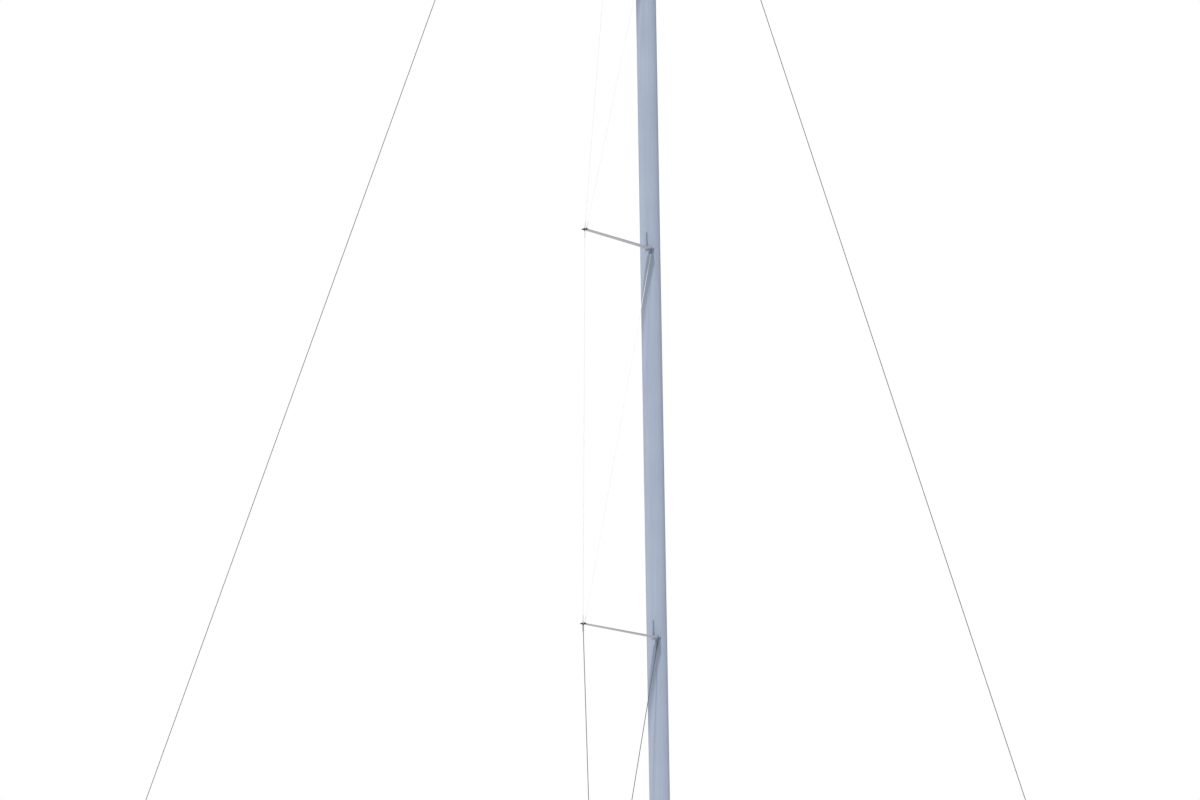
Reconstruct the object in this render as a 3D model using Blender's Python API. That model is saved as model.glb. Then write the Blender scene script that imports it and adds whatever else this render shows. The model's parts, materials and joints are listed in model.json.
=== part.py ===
"""Mast and standing rigging of a cruising yacht, with its boom and rigid vang.

Metres. +X is towards the bow, +Y to port and +Z up. The origin is on the deck, under the
middle of the mast step. The mast leans aft, so most fittings are placed with on_mast().
"""
import math

import bmesh
import bpy
from mathutils import Matrix, Vector

# Mast
RAKE = math.radians(0.91)
MAST_LENGTH = 0.245
MAST_WIDTH = 0.136
MAST_WALL = 0.0045
MAST_FOOT = 0.034
MAST_TOP = 18.437
MAST_STEPS = 36
GROOVE_SLOT = 0.009
GROOVE_LIP = 0.005
GROOVE_RADIUS = 0.009
HALYARD_EXITS = ((1.75, 1), (2.05, -1))
EXIT_LENGTH = 0.13
EXIT_WIDTH = 0.022
EXIT_FORE = 0.03
STEP_HALF = 0.165
STEP_TOP_HALF = 0.145
STEP_SIDE = 0.085
HEEL_PLUG = 0.090
PLUG_ROOM = 0.001

# Spreaders: height of the root, length from root to shroud
SPREADERS = ((4.564, 1.302), (9.128, 1.174), (12.870, 0.660))
SWEEP = math.radians(22.16)
UPSWING = math.radians(3.21)
ROOT_FORE = 0.0443
ROOT_OFF = 0.080
ROOT_CHORD = 0.092
TIP_CHORD = 0.072
ROOT_THICK = 0.020
TIP_THICK = 0.014
SOCKET_LENGTH = 0.060
SOCKET_LIP = 0.002
HORN_IN = 0.050
HORN_CHORD = 0.036
ROOT_PLATE = 0.0030
PLATE_LOW = 0.052
PLATE_HIGH = 0.024
FIN = ((0.004, 0.0220), (0.032, 0.0105), (0.068, 0.0062), (0.120, 0.0038), (0.205, 0.0015))
FIN_AFT = 0.017
FIN_OUT = 0.011
BAR_RADIUS = 0.0110
BAR_ROOM = 0.0010
TANG_DROP = 0.030
TANG_AFT = 0.006
TANG_OFF = 0.010
TANG_RADIUS = 0.0075
TANG_BOSS = 0.020
CAP_LENGTH = 0.034
CAP_LIP = 0.002
CAP_CHORDS = ((0.0, 0.086), (0.35, 0.088), (0.80, 0.080), (1.0, 0.068))
CAP_BOSS = 0.014
DIAGONAL_FORE = 0.024

# Stays
HOUNDS = 16.19
HOUNDS_HALF = 0.060
HOUNDS_BOSS = 0.050
FORESTAY_BOSS = 0.060
BACKSTAY_BOSS = 0.075
BOSS_RADIUS = 0.013
SIDE_CHAINPLATE = Vector((-0.372, 1.294, 0.0))
CAP_PIN = Vector((-0.350, 1.318, 0.070))
LOWER_PIN = Vector((-0.394, 1.269, 0.070))
STEM_PIN = Vector((5.0755, 0.0, 0.070))
STERN_PIN = Vector((-7.616, 0.0, 0.070))
BACKSTAY_AFT = 0.241
BACKSTAY_ABOVE = 0.045
FORESTAY_FORE = 0.146
CAP_LOWER_RADIUS = 0.0050
CAP_MIDDLE_RADIUS = 0.0040
CAP_UPPER_RADIUS = 0.0035
LOWER_RADIUS = 0.0045
DIAGONAL_RADIUS = 0.0030
STAY_RADIUS = 0.0045
SWAGE_LENGTH = 0.090
WIRE_SIDES = 8

# Plates and pins
PLATE = 0.010
LUG = 0.012
LUG_RADIUS = 0.024
PIN_RADIUS = 0.0077
PIN_ROOM = 0.0006
HOLE_RADIUS = PIN_RADIUS + PIN_ROOM
SADDLE = 0.006
BURIED = 0.006
ROUND = 12
SCREW_LENGTH = 0.40
SCREW_CHEEK = 0.008
SCREW_FORK_TOP = 0.058
SCREW_NUT = 0.0165
SCREW_STUD = 0.0095
SCREW_BODY = 0.0150
PLATE_CORNER = 0.020
SIDE_PLATE_SIZE = (0.20, 0.15)
END_PLATE_SIZE = (0.18, 0.09)

# Boom and vang
GOOSENECK_HEIGHT = 1.25
VANG_HEIGHT = 0.30
PIVOT_AFT = 0.056
TONGUE_AFT = 0.052
BOOM_RISE = math.radians(1.0)
BOOM_LENGTH = 5.45
BOOM_WIDTH = 0.098
BOOM_DEPTH = 0.150
BOOM_WALL = 0.0032
VANG_ALONG = 1.55
VANG_BELOW = 0.125
BARREL_LENGTH = 0.98
ROD_RADIUS = 0.0205
ROD_ROOM = 0.0040
BARREL_BORE = ROD_RADIUS + ROD_ROOM
BARREL_WALL = 0.0075
BARREL_RADIUS = BARREL_BORE + BARREL_WALL
ROD_IN_BARREL = 0.42
BRACKET_HALF = 0.078
LUG_LOW = 0.038
LUG_HIGH = LUG_LOW + LUG
BRACKET_LUG = 0.021
TOGGLE_RADIUS = 0.016
TONGUE = 0.020
TONGUE_RADIUS = 0.017
FORK_RADIUS = 0.018
FORK_CHEEK = 0.010
PIN_HEAD_RADIUS = 0.0115
PIN_HEAD = 0.005
FRONT_FACE = 0.045
TUBE_START = 0.062
BOOM_CORNER = 0.040
BOOM_PLUG = 0.050
END_CAP = 0.020
END_TAPER = 0.012
VANG_LUG_SIZE = (0.008, 0.062, 0.150)
VANG_LUG_HALF = 0.050
VANG_CHEEK = 0.008
EYE_RADIUS = 0.022
EYE_HALF = 0.010
EYE_GAP = 0.003
BARREL_START = 0.045
BORE_START = 0.085
GLAND = 0.050
GLAND_LIP = 0.004

# Masthead
CRANE_FORE = 0.190
CRANE_AFT = 0.285
CHEEK = 0.008
CHEEK_HEIGHT = 0.112
SHEAVE_RADIUS = 0.044
SHEAVE_WIDTH = 0.020
SHEAVE_ROOM = 0.002
CHEEK_GAP = SHEAVE_WIDTH + 2 * SHEAVE_ROOM
SHEAVE_FORE = 0.128
SHEAVE_AFT = -0.140
CRANE_TOP = 0.010
CRANE_LIP = 0.003
AXLE_HEIGHT = 0.060
CHEEK_LOW = 0.030
CHEEK_HIGH = 0.085
SHEAVE_RIM = 0.003
SHEAVE_GROOVE = 0.007
SENSOR_FORE = 0.62
SENSOR_RISE = 0.30
SPINDLE_HALF = 0.085
SPINDLE_RADIUS = 0.004
SPINDLE_ROOM = 0.0008
CUPS_DROP = 0.035
CUPS_REACH = 0.070
VANE_RISE = 0.034
VANE_ROD = 0.0025

# Clearances
GAP = 0.0003
RUNNING = 0.0010
OVER = 0.1

MAST_UP = Vector((-math.sin(RAKE), 0.0, math.cos(RAKE)))
MAST_FORE = Vector((math.cos(RAKE), 0.0, math.sin(RAKE)))
PORT = Vector((0.0, 1.0, 0.0))
FORE = Vector((1.0, 0.0, 0.0))
UP = Vector((0.0, 0.0, 1.0))
SIDES = (("port", 1), ("starboard", -1))


# Places and shapes

def on_mast(height, fore=0.0, side=0.0):
    """The point at a height up the mast, off its middle line."""
    return MAST_UP * height + MAST_FORE * fore + PORT * side


def frame(origin, z_axis, x_axis):
    """The matrix that puts a shape's Z along z_axis and its X near x_axis."""
    z = z_axis.normalized()
    y = z.cross(x_axis).normalized()
    x = y.cross(z)
    matrix = Matrix((x, y, z)).transposed().to_4x4()
    matrix.translation = origin
    return matrix


def mast_frame(height, fore=0.0, side=0.0):
    """A frame on the mast, with X towards the bow and Z up the mast."""
    return frame(on_mast(height, fore, side), MAST_UP, MAST_FORE)


def mast_edge(angle, off=0.0):
    """A point of the mast section, moved off the wall; angle 0 is the bow side."""
    a = MAST_LENGTH / 2
    b = MAST_WIDTH / 2
    normal = Vector((b * math.cos(angle), a * math.sin(angle))).normalized()
    point = Vector((a * math.cos(angle), b * math.sin(angle))) + normal * off
    return (point.x, point.y)


def mast_section(off=0.0):
    """The plain oval of the mast, moved off the wall."""
    return [mast_edge(math.tau * step / MAST_STEPS, off) for step in range(MAST_STEPS)]


def saddle(middle, half_steps, thickness):
    """A plate that hugs the mast, half_steps each way from middle; its inside is cut to the wall."""
    angles = [math.tau * (middle + step) / MAST_STEPS for step in range(-half_steps, half_steps + 1)]
    inside = [mast_edge(angle, -MAST_WALL / 2) for angle in angles]
    outside = [mast_edge(angle, GAP + thickness) for angle in angles]
    return inside + outside[::-1]


def arc(radius, start, end, steps, centre=(0.0, 0.0)):
    """Points on an arc, with both ends."""
    turns = [start + (end - start) * step / steps for step in range(steps + 1)]
    return [(centre[0] + radius * math.cos(t), centre[1] + radius * math.sin(t)) for t in turns]


def oval(width, depth, steps=16):
    """A flat streamlined outline, rounder at +X than at -X."""
    points = []
    for step in range(steps):
        turn = math.tau * step / steps
        along = math.cos(turn)
        across = math.sin(turn) * (1.0 + 0.22 * along)
        points.append((along * width / 2, across * depth / 2))
    return points


def rounded(width, depth, corner, steps=4):
    """A rectangle in the plane with round corners."""
    points = []
    for quarter in range(4):
        turn = quarter * math.pi / 2
        sign_x = 1 if quarter in (0, 3) else -1
        sign_y = 1 if quarter in (0, 1) else -1
        centre = (sign_x * (width / 2 - corner), sign_y * (depth / 2 - corner))
        points += arc(corner, turn, turn + math.pi / 2, steps, centre)
    return points


def strap(length, radius, back=0.0):
    """A plate's outline: round about the origin, straight to x = length."""
    straight = [(length, -radius - back), (length, radius + back)]
    return arc(radius, math.pi / 2, 3 * math.pi / 2, 6) + straight


def loft(rings):
    """A closed skin through rings of points, flat at both ends."""
    solid = bmesh.new()
    loops = [[solid.verts.new(point) for point in ring] for ring in rings]
    count = len(loops[0])
    for low, high in zip(loops, loops[1:]):
        for i in range(count):
            j = (i + 1) % count
            solid.faces.new((low[i], low[j], high[j], high[i]))
    solid.faces.new(loops[0][::-1])
    solid.faces.new(loops[-1])
    bmesh.ops.recalc_face_normals(solid, faces=solid.faces)
    return solid


def prism(outline, low, high):
    """An outline in XY swept along Z."""
    return loft([[(x, y, z) for x, y in outline] for z in (low, high)])


def turned(profile, sides=ROUND):
    """A solid of revolution about Z, from (z, radius) points."""
    rings = []
    for z, radius in profile:
        turns = [math.tau * side / sides for side in range(sides)]
        rings.append([(radius * math.cos(t), radius * math.sin(t), z) for t in turns])
    return loft(rings)


def rod(radius, low, high, sides=ROUND):
    return turned(((low, radius), (high, radius)), sides)


def block(size, centre):
    """A box with its middle at centre."""
    x, y, z = size
    outline = ((-x / 2, -y / 2), (x / 2, -y / 2), (x / 2, y / 2), (-x / 2, y / 2))
    solid = prism(outline, -z / 2, z / 2)
    return placed(solid, Matrix.Translation(centre))


def placed(solid, matrix):
    solid.transform(matrix)
    return solid


ACROSS = Matrix.Rotation(math.pi / 2, 4, "X")
ALONG = Matrix(((0, 0, 1, 0), (1, 0, 0, 0), (0, 1, 0, 0), (0, 0, 0, 1)))


# Objects

def material(name, colour, roughness, metallic):
    """A Principled material."""
    finish = bpy.data.materials.new(name)
    finish.use_nodes = True
    shader = finish.node_tree.nodes["Principled BSDF"]
    shader.inputs["Base Color"].default_value = (*colour, 1.0)
    shader.inputs["Roughness"].default_value = roughness
    shader.inputs["Metallic"].default_value = metallic
    return finish


def new_object(name, solid):
    mesh = bpy.data.meshes.new(name)
    solid.to_mesh(mesh)
    solid.free()
    thing = bpy.data.objects.new(name, mesh)
    bpy.context.scene.collection.objects.link(thing)
    return thing


def make(name, finish, first, *steps):
    """One closed body: the first solid, then each ("add", solid) or ("cut", solid) in turn."""
    body = new_object(name, first)
    tools = []
    for kind, solid in steps:
        tool = new_object(name + "_tool", solid)
        tools.append(tool)
        boolean = body.modifiers.new(kind, "BOOLEAN")
        boolean.operation = "UNION" if kind == "add" else "DIFFERENCE"
        boolean.solver = "EXACT"
        boolean.object = tool
    if tools:
        depsgraph = bpy.context.evaluated_depsgraph_get()
        whole = bpy.data.meshes.new_from_object(body.evaluated_get(depsgraph))
        rough = body.data
        body.modifiers.clear()
        body.data = whole
        bpy.data.meshes.remove(rough)
    for tool in tools:
        mesh = tool.data
        bpy.data.objects.remove(tool)
        bpy.data.meshes.remove(mesh)
    body.data.materials.clear()
    body.data.materials.append(finish)
    body.data.shade_smooth()
    body.data.set_sharp_from_angle(angle=math.radians(28))
    return body


def pivot(name, matrix, parent=None):
    """An empty on a joint's axis, which carries the moving pieces."""
    empty = bpy.data.objects.new(name, None)
    bpy.context.scene.collection.objects.link(empty)
    empty.parent = parent
    empty.matrix_world = matrix
    bpy.context.view_layer.update()
    return empty


def carry(empty, *things):
    """Hang the things on the empty, where they are."""
    for thing in things:
        thing.parent = empty
        thing.matrix_parent_inverse = empty.matrix_world.inverted()


# Stays

def stay_frame(pin, end):
    """Z from the pin up the stay, with the pin's axis along X."""
    along = (end - pin).normalized()
    return frame(pin, along, along.cross(FORE))


def wire(name, finish, path, radius, swages=(True, True)):
    """A taut wire along the path, with a thicker swaged terminal at its ends."""
    stations = []
    for index, point in enumerate(path):
        before = path[max(index - 1, 0)]
        after = path[min(index + 1, len(path) - 1)]
        stations.append((point, (after - before).normalized(), radius))
    first, first_way, _ = stations[0]
    last, last_way, _ = stations[-1]
    grip = radius * 1.9
    if swages[0]:
        near = first + first_way * SWAGE_LENGTH
        stations[0:1] = [
            (first, first_way, grip),
            (near - first_way * grip, first_way, grip),
            (near, first_way, radius),
        ]
    if swages[1]:
        near = last - last_way * SWAGE_LENGTH
        stations[-1:] = [
            (near, last_way, radius),
            (near + last_way * grip, last_way, grip),
            (last, last_way, grip),
        ]
    rings = []
    for centre, way, size in stations:
        spot = frame(centre, way, FORE)
        turns = [math.tau * side / WIRE_SIDES for side in range(WIRE_SIDES)]
        rings.append([spot @ Vector((size * math.cos(t), size * math.sin(t), 0.0)) for t in turns])
    return make(name, finish, loft(rings))


def chainplate(name, finish, middle, size, stays):
    """A deck plate with one upright lug for each (pin, upper end) stay."""
    width, breadth = size
    plate = placed(prism(rounded(width, breadth, PLATE_CORNER), 0.0, PLATE), Matrix.Translation(middle))
    steps = []
    for pin, end in stays:
        outline = [(y, -x) for x, y in strap(pin.z + PLATE, LUG_RADIUS, 0.006)]
        lug = prism(outline, -LUG / 2, LUG / 2)
        spot = stay_frame(pin, end) @ ALONG
        steps.append(("add", placed(lug, spot)))
        steps.append(("cut", placed(rod(HOLE_RADIUS, -OVER, OVER), spot)))
    below = block((1.0, 1.0, 2 * OVER), (middle.x, middle.y, -OVER))
    steps.append(("cut", below))
    return make(name, finish, plate, *steps)


def rigging_screw(name, finish, pin, end):
    """A turnbuckle from its clevis pin up the stay: fork, body and upper stud."""
    spot = stay_frame(pin, end)
    half = LUG / 2 + GAP
    cheek_outline = arc(FORK_RADIUS, math.pi, math.tau, 6)
    cheek_outline += [(FORK_RADIUS, SCREW_FORK_TOP), (-FORK_RADIUS, SCREW_FORK_TOP)]
    steps = []
    for side in (-1, 1):
        low, high = sorted((side * half, side * (half + SCREW_CHEEK)))
        steps.append(("add", placed(prism(cheek_outline, low, high), spot @ ALONG)))
    pin_half = half + SCREW_CHEEK * 1.5
    steps.append(("add", placed(rod(PIN_RADIUS, -pin_half, pin_half), spot @ ALONG)))
    body = (
        (0.034, SCREW_NUT), (0.056, SCREW_NUT), (0.066, SCREW_STUD), (0.090, SCREW_STUD),
        (0.100, SCREW_BODY), (0.300, SCREW_BODY), (0.310, SCREW_STUD), (SCREW_LENGTH - GAP, SCREW_STUD),
    )
    return make(name, finish, placed(turned(body, 10), spot), *steps)


def up_stay(pin, end, distance):
    return pin + (end - pin).normalized() * distance


def stub(point, towards, radius, length, back):
    """A short boss along a stay, from back inside a fitting to length outside it."""
    way = towards - point
    return placed(rod(radius, -back, length, 12), frame(point, way, FORE))


# The model

for thing in list(bpy.data.objects):
    bpy.data.objects.remove(thing)

SPAR = material("spar_paint", (0.36, 0.42, 0.52), 0.42, 0.0)
SPREADER = material("spreader_paint", (0.40, 0.42, 0.45), 0.45, 0.0)
CAST = material("cast_aluminium", (0.30, 0.32, 0.36), 0.50, 1.0)
WIRE = material("stainless_wire", (0.50, 0.51, 0.51), 0.38, 1.0)
BRIGHT = material("bright_wire", (0.82, 0.83, 0.83), 0.30, 1.0)
STAINLESS = material("stainless", (0.62, 0.62, 0.61), 0.25, 1.0)
BLACK = material("black_moulding", (0.018, 0.018, 0.020), 0.50, 0.0)


def spreader_root(height, sign):
    return on_mast(height, ROOT_FORE, sign * ROOT_OFF)


def spreader_way(sign):
    level = math.cos(UPSWING)
    return Vector((-math.sin(SWEEP) * level, sign * math.cos(SWEEP) * level, math.sin(UPSWING)))


def spreader_frame(height, sign):
    """Z out along the spreader, X towards the bow along its chord."""
    return frame(spreader_root(height, sign), spreader_way(sign), FORE)


def shroud_point(number, sign):
    """Where the shroud passes the spreader's tip: inside the cap, or outside the top one."""
    height, length = SPREADERS[number]
    outside = CAP_LENGTH / 2 + CAP_UPPER_RADIUS + 0.002 if number == 2 else 0.0
    return spreader_root(height, sign) + spreader_way(sign) * (length + outside)


def hounds_point(sign):
    return on_mast(HOUNDS, 0.0, sign * (MAST_WIDTH / 2 + TANG_OFF))


def mirrored(point, sign):
    return Vector((point.x, point.y * sign, point.z))


# Mast step: a wedge on the deck that carries the raked heel, with a plug inside the tube
wedge = [(-STEP_HALF, 0.0), (STEP_HALF, 0.0)]
for fore in (STEP_TOP_HALF, -STEP_TOP_HALF):
    point = on_mast(MAST_FOOT - GAP, fore)
    wedge.append((point.x, point.z))
step_block = placed(prism(wedge, -STEP_SIDE, STEP_SIDE), ACROSS)
groove_face = -MAST_LENGTH / 2 + GROOVE_LIP + 2 * GROOVE_RADIUS + MAST_WALL


def cavity(off):
    """The hollow of the mast, cut short aft by the wall of the luff groove."""
    points = []
    for x, y in mast_section(-MAST_WALL - off):
        if x > groove_face + off:
            points.append((x, y))
    a = MAST_LENGTH / 2 - MAST_WALL - off
    b = MAST_WIDTH / 2 - MAST_WALL - off
    edge = groove_face + off
    side = b * math.sqrt(1.0 - (edge / a) ** 2)
    upper = [(x, y) for x, y in points if y >= 0.0]
    lower = [(x, y) for x, y in points if y < 0.0]
    return upper + [(edge, side), (edge, -side)] + lower


plug = placed(prism(cavity(PLUG_ROOM), MAST_FOOT / 2, MAST_FOOT + HEEL_PLUG), mast_frame(0.0))
make("mast_step", CAST, step_block, ("add", plug))

# Mast tube: oval extrusion with the luff groove down its after side
groove_centre = -MAST_LENGTH / 2 + GROOVE_LIP + GROOVE_RADIUS * 0.86
slot_outline = [(-MAST_LENGTH, -GROOVE_SLOT / 2), (groove_centre, -GROOVE_SLOT / 2)]
slot_outline += [(x, -y) for x, y in slot_outline[::-1]]
slot = placed(prism(slot_outline, MAST_FOOT - OVER, MAST_TOP + OVER), mast_frame(0.0))
chamber = placed(rod(GROOVE_RADIUS, MAST_FOOT - OVER, MAST_TOP + OVER, 12), mast_frame(0.0, groove_centre))
cuts = [
    ("cut", placed(prism(cavity(0.0), MAST_FOOT - OVER, MAST_TOP + OVER), mast_frame(0.0))),
    ("cut", chamber),
    ("cut", slot),
]
for height, _ in SPREADERS:
    bar_hole = placed(rod(BAR_RADIUS + BAR_ROOM, -OVER, OVER, 16), mast_frame(height, ROOT_FORE) @ ACROSS)
    cuts.append(("cut", bar_hole))
for height, sign in HALYARD_EXITS:
    exit_slot = prism(rounded(EXIT_WIDTH, EXIT_LENGTH, EXIT_WIDTH * 0.45, 3), MAST_WIDTH / 4, OVER)
    out_of_side = Matrix.Rotation(-sign * math.pi / 2, 4, "X")
    cuts.append(("cut", placed(exit_slot, mast_frame(height, EXIT_FORE) @ out_of_side)))
make("mast_tube", SPAR, placed(prism(mast_section(), MAST_FOOT, MAST_TOP), mast_frame(0.0)), *cuts)

# Spreader roots: one casting on each side of the wall, joined by a bar through the mast
quarter = MAST_STEPS // 4
horn_thick = ROOT_THICK + SOCKET_LIP
horn_sections = ((-HORN_IN, HORN_CHORD * 0.8), (0.0, HORN_CHORD), (SOCKET_LENGTH, ROOT_CHORD + SOCKET_LIP))


def tang(number, sign):
    """Upper pin of the diagonal that ends below spreader number."""
    height, _ = SPREADERS[number]
    return on_mast(height - TANG_DROP, ROOT_FORE - TANG_AFT, sign * (MAST_WIDTH / 2 + TANG_OFF))


def diagonal_foot(number, sign):
    """Lower end of the diagonal that ends below spreader number."""
    if number == 0:
        return mirrored(LOWER_PIN, sign)
    height, length = SPREADERS[number - 1]
    return spreader_frame(height, sign) @ Vector((DIAGONAL_FORE, 0.0, length))


def fin(height, sign):
    """The thin web above the spreader, which narrows up the wall in a hollow curve."""
    rings = []
    for out in (-BURIED, FIN_OUT):
        side = sign * (MAST_WIDTH / 2 + out)
        fore = [on_mast(height + up, half - FIN_AFT, side) for up, half in FIN]
        aft = [on_mast(height + up, -half - FIN_AFT, side) for up, half in FIN[::-1]]
        rings.append(fore + aft)
    return loft(rings)


for number, (height, length) in enumerate(SPREADERS):
    steps = []
    for _, sign in SIDES:
        plate_outline = saddle(sign * (quarter - 1), 1, ROOT_PLATE)
        plate = placed(prism(plate_outline, -PLATE_LOW, PLATE_HIGH), mast_frame(height))
        spot = spreader_frame(height, sign)
        rings = []
        for out, chord in horn_sections:
            rings.append([spot @ Vector((x, y, out)) for x, y in oval(chord, horn_thick)])
        boss = stub(tang(number, sign), diagonal_foot(number, sign), TANG_RADIUS, TANG_BOSS, TANG_DROP)
        steps += [("add", plate), ("add", loft(rings)), ("add", fin(height, sign)), ("add", boss)]
    inside = prism(mast_section(GAP), height - OVER, height + FIN[-1][0] + OVER)
    steps.append(("cut", placed(inside, mast_frame(0.0))))
    through = mast_frame(height, ROOT_FORE) @ ACROSS
    half = MAST_WIDTH / 2 + BURIED
    steps.append(("add", placed(rod(BAR_RADIUS, -half, half, 16), through)))
    core = placed(rod(BAR_RADIUS / 2, -half - PLATE_HIGH / 4, half + PLATE_HIGH / 4, 8), through)
    make(f"spreader_root_{number + 1}", CAST, core, *steps)

# Spreaders and their tip caps
for number, (height, length) in enumerate(SPREADERS):
    for side_name, sign in SIDES:
        spot = spreader_frame(height, sign)
        start = SOCKET_LENGTH + GAP
        cap_start = length - CAP_LENGTH / 2
        sections = []
        for out in (start, (start + cap_start) / 2, cap_start - GAP):
            share = out / length
            chord = ROOT_CHORD + (TIP_CHORD - ROOT_CHORD) * share
            thick = ROOT_THICK + (TIP_THICK - ROOT_THICK) * share
            sections.append([spot @ Vector((x, y, out)) for x, y in oval(chord, thick)])
        make(f"spreader_{number + 1}_{side_name}", SPREADER, loft(sections))
        cap_rings = []
        for out, chord in CAP_CHORDS:
            outline = oval(chord, TIP_THICK + CAP_LIP)
            cap_rings.append([spot @ Vector((x, y, cap_start + CAP_LENGTH * out)) for x, y in outline])
        bosses = []
        if number < 2:
            point = shroud_point(number, sign)
            above = shroud_point(number + 1, sign)
            if number == 0:
                below = mirrored(CAP_PIN, sign)
            else:
                below = shroud_point(0, sign)
            foot = diagonal_foot(number + 1, sign)
            bosses.append(("add", stub(point, above, CAP_MIDDLE_RADIUS * 1.6, CAP_BOSS, 0.0)))
            bosses.append(("add", stub(point, below, CAP_LOWER_RADIUS * 1.6, CAP_BOSS, 0.0)))
            bosses.append(("add", stub(foot, tang(number + 1, sign), DIAGONAL_RADIUS * 1.8, CAP_BOSS, 0.0)))
        make(f"spreader_cap_{number + 1}_{side_name}", BLACK, loft(cap_rings), *bosses)

# Hounds: one band round the front of the mast, with a forestay lug and two shroud bosses
forestay_top = on_mast(HOUNDS, FORESTAY_FORE)
steps = [("add", stub(forestay_top, STEM_PIN, BOSS_RADIUS, FORESTAY_BOSS, FORESTAY_BOSS / 2))]
for _, sign in SIDES:
    boss = stub(hounds_point(sign), shroud_point(2, sign), TANG_OFF, HOUNDS_BOSS, HOUNDS_BOSS / 4)
    steps.append(("add", boss))
steps.append(("cut", placed(prism(mast_section(GAP), HOUNDS - OVER, HOUNDS + OVER), mast_frame(0.0))))
band = placed(prism(saddle(0, 13, SADDLE), -HOUNDS_HALF, HOUNDS_HALF), mast_frame(HOUNDS))
make("hounds_band", STAINLESS, band, *steps)

# Masthead crane: a cap on the tube with two cheeks that carry the halyard sheaves
crane = mast_frame(MAST_TOP)
top_plate = placed(prism(mast_section(CRANE_LIP), GAP, CRANE_TOP), crane)
backstay_top = on_mast(MAST_TOP + BACKSTAY_ABOVE, -BACKSTAY_AFT)
steps = [("add", placed(prism(cavity(PLUG_ROOM), -HEEL_PLUG, CRANE_TOP / 2), crane))]
for sign in (-1, 1):
    centre = sign * (CHEEK_GAP / 2 + CHEEK / 2)
    outline = (
        (-CRANE_AFT, CHEEK_LOW), (-CRANE_AFT + 0.05, 0.002), (CRANE_FORE - 0.05, 0.002),
        (CRANE_FORE, CHEEK_LOW), (CRANE_FORE, CHEEK_HIGH), (CRANE_FORE - 0.04, CHEEK_HEIGHT),
        (-CRANE_AFT + 0.04, CHEEK_HEIGHT), (-CRANE_AFT, CHEEK_HIGH),
    )
    cheek = placed(prism(outline, centre - CHEEK / 2, centre + CHEEK / 2), ACROSS)
    steps.append(("add", placed(cheek, crane)))
tail_block = block((0.040, CHEEK_GAP + CHEEK, 0.055), (-BACKSTAY_AFT, 0.0, BACKSTAY_ABOVE))
steps.append(("add", placed(tail_block, crane)))
nose_block = block((CHEEK_LOW, CHEEK_GAP + CHEEK, CHEEK_LOW), (0.0, 0.0, CHEEK_HEIGHT - CHEEK_LOW))
steps.append(("add", placed(nose_block, crane)))
steps.append(("add", stub(backstay_top, STERN_PIN, BOSS_RADIUS, BACKSTAY_BOSS, PLATE)))
for along in (SHEAVE_FORE, SHEAVE_AFT):
    spot = mast_frame(MAST_TOP + AXLE_HEIGHT, along) @ ACROSS
    half = CHEEK_GAP / 2 + CHEEK + BURIED
    steps.append(("add", placed(rod(PIN_RADIUS, -half, half), spot)))
make("masthead_crane", CAST, top_plate, *steps)

sheave_profile = (
    (-SHEAVE_WIDTH / 2, SHEAVE_RADIUS), (-SHEAVE_WIDTH / 2 + SHEAVE_RIM, SHEAVE_RADIUS),
    (-SHEAVE_RIM, SHEAVE_RADIUS - SHEAVE_GROOVE), (SHEAVE_RIM, SHEAVE_RADIUS - SHEAVE_GROOVE),
    (SHEAVE_WIDTH / 2 - SHEAVE_RIM, SHEAVE_RADIUS), (SHEAVE_WIDTH / 2, SHEAVE_RADIUS),
)
for side_name, along in (("fore", SHEAVE_FORE), ("aft", SHEAVE_AFT)):
    spot = mast_frame(MAST_TOP + AXLE_HEIGHT, along)
    disc = placed(turned(sheave_profile, 20), spot @ ACROSS)
    bore = placed(rod(HOLE_RADIUS, -OVER, OVER, 16), spot @ ACROSS)
    sheave = make(f"halyard_sheave_{side_name}", BLACK, disc, ("cut", bore))
    carry(pivot(f"sheave_{side_name}_axle", spot), sheave)

# Wind vane and cup anemometer on an arm ahead of the masthead
sensor = on_mast(MAST_TOP + SENSOR_RISE, SENSOR_FORE)
arm_foot = on_mast(MAST_TOP + CHEEK_HEIGHT + 0.004, 0.0)
arm_bend = on_mast(MAST_TOP + SENSOR_RISE, 0.20)
arm_frame = mast_frame(MAST_TOP + CHEEK_HEIGHT + GAP)
spindle = frame(sensor, MAST_UP, MAST_FORE)
arm_rings = []
for centre, way in (
    (arm_foot, MAST_UP), (on_mast(MAST_TOP + SENSOR_RISE - 0.09, 0.10), arm_bend - arm_foot),
    (arm_bend, MAST_FORE + MAST_UP * 0.4), (sensor, MAST_FORE),
):
    ring_frame = frame(centre, way, PORT)
    arm_rings.append([ring_frame @ Vector((x, y, 0.0)) for x, y in arc(0.008, 0.0, math.tau * 0.9, 9)])
foot_plate = placed(prism(rounded(0.09, 0.036, 0.012), 0.0, 0.008), arm_frame)
spindle_profile = (
    (-SPINDLE_HALF, SPINDLE_RADIUS), (-LUG, SPINDLE_RADIUS), (-LUG, LUG),
    (LUG, LUG), (LUG, SPINDLE_RADIUS), (SPINDLE_HALF, SPINDLE_RADIUS),
)
make(
    "wind_arm", CAST, foot_plate,
    ("add", loft(arm_rings)),
    ("add", placed(turned(spindle_profile, 16), spindle)),
)

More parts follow.
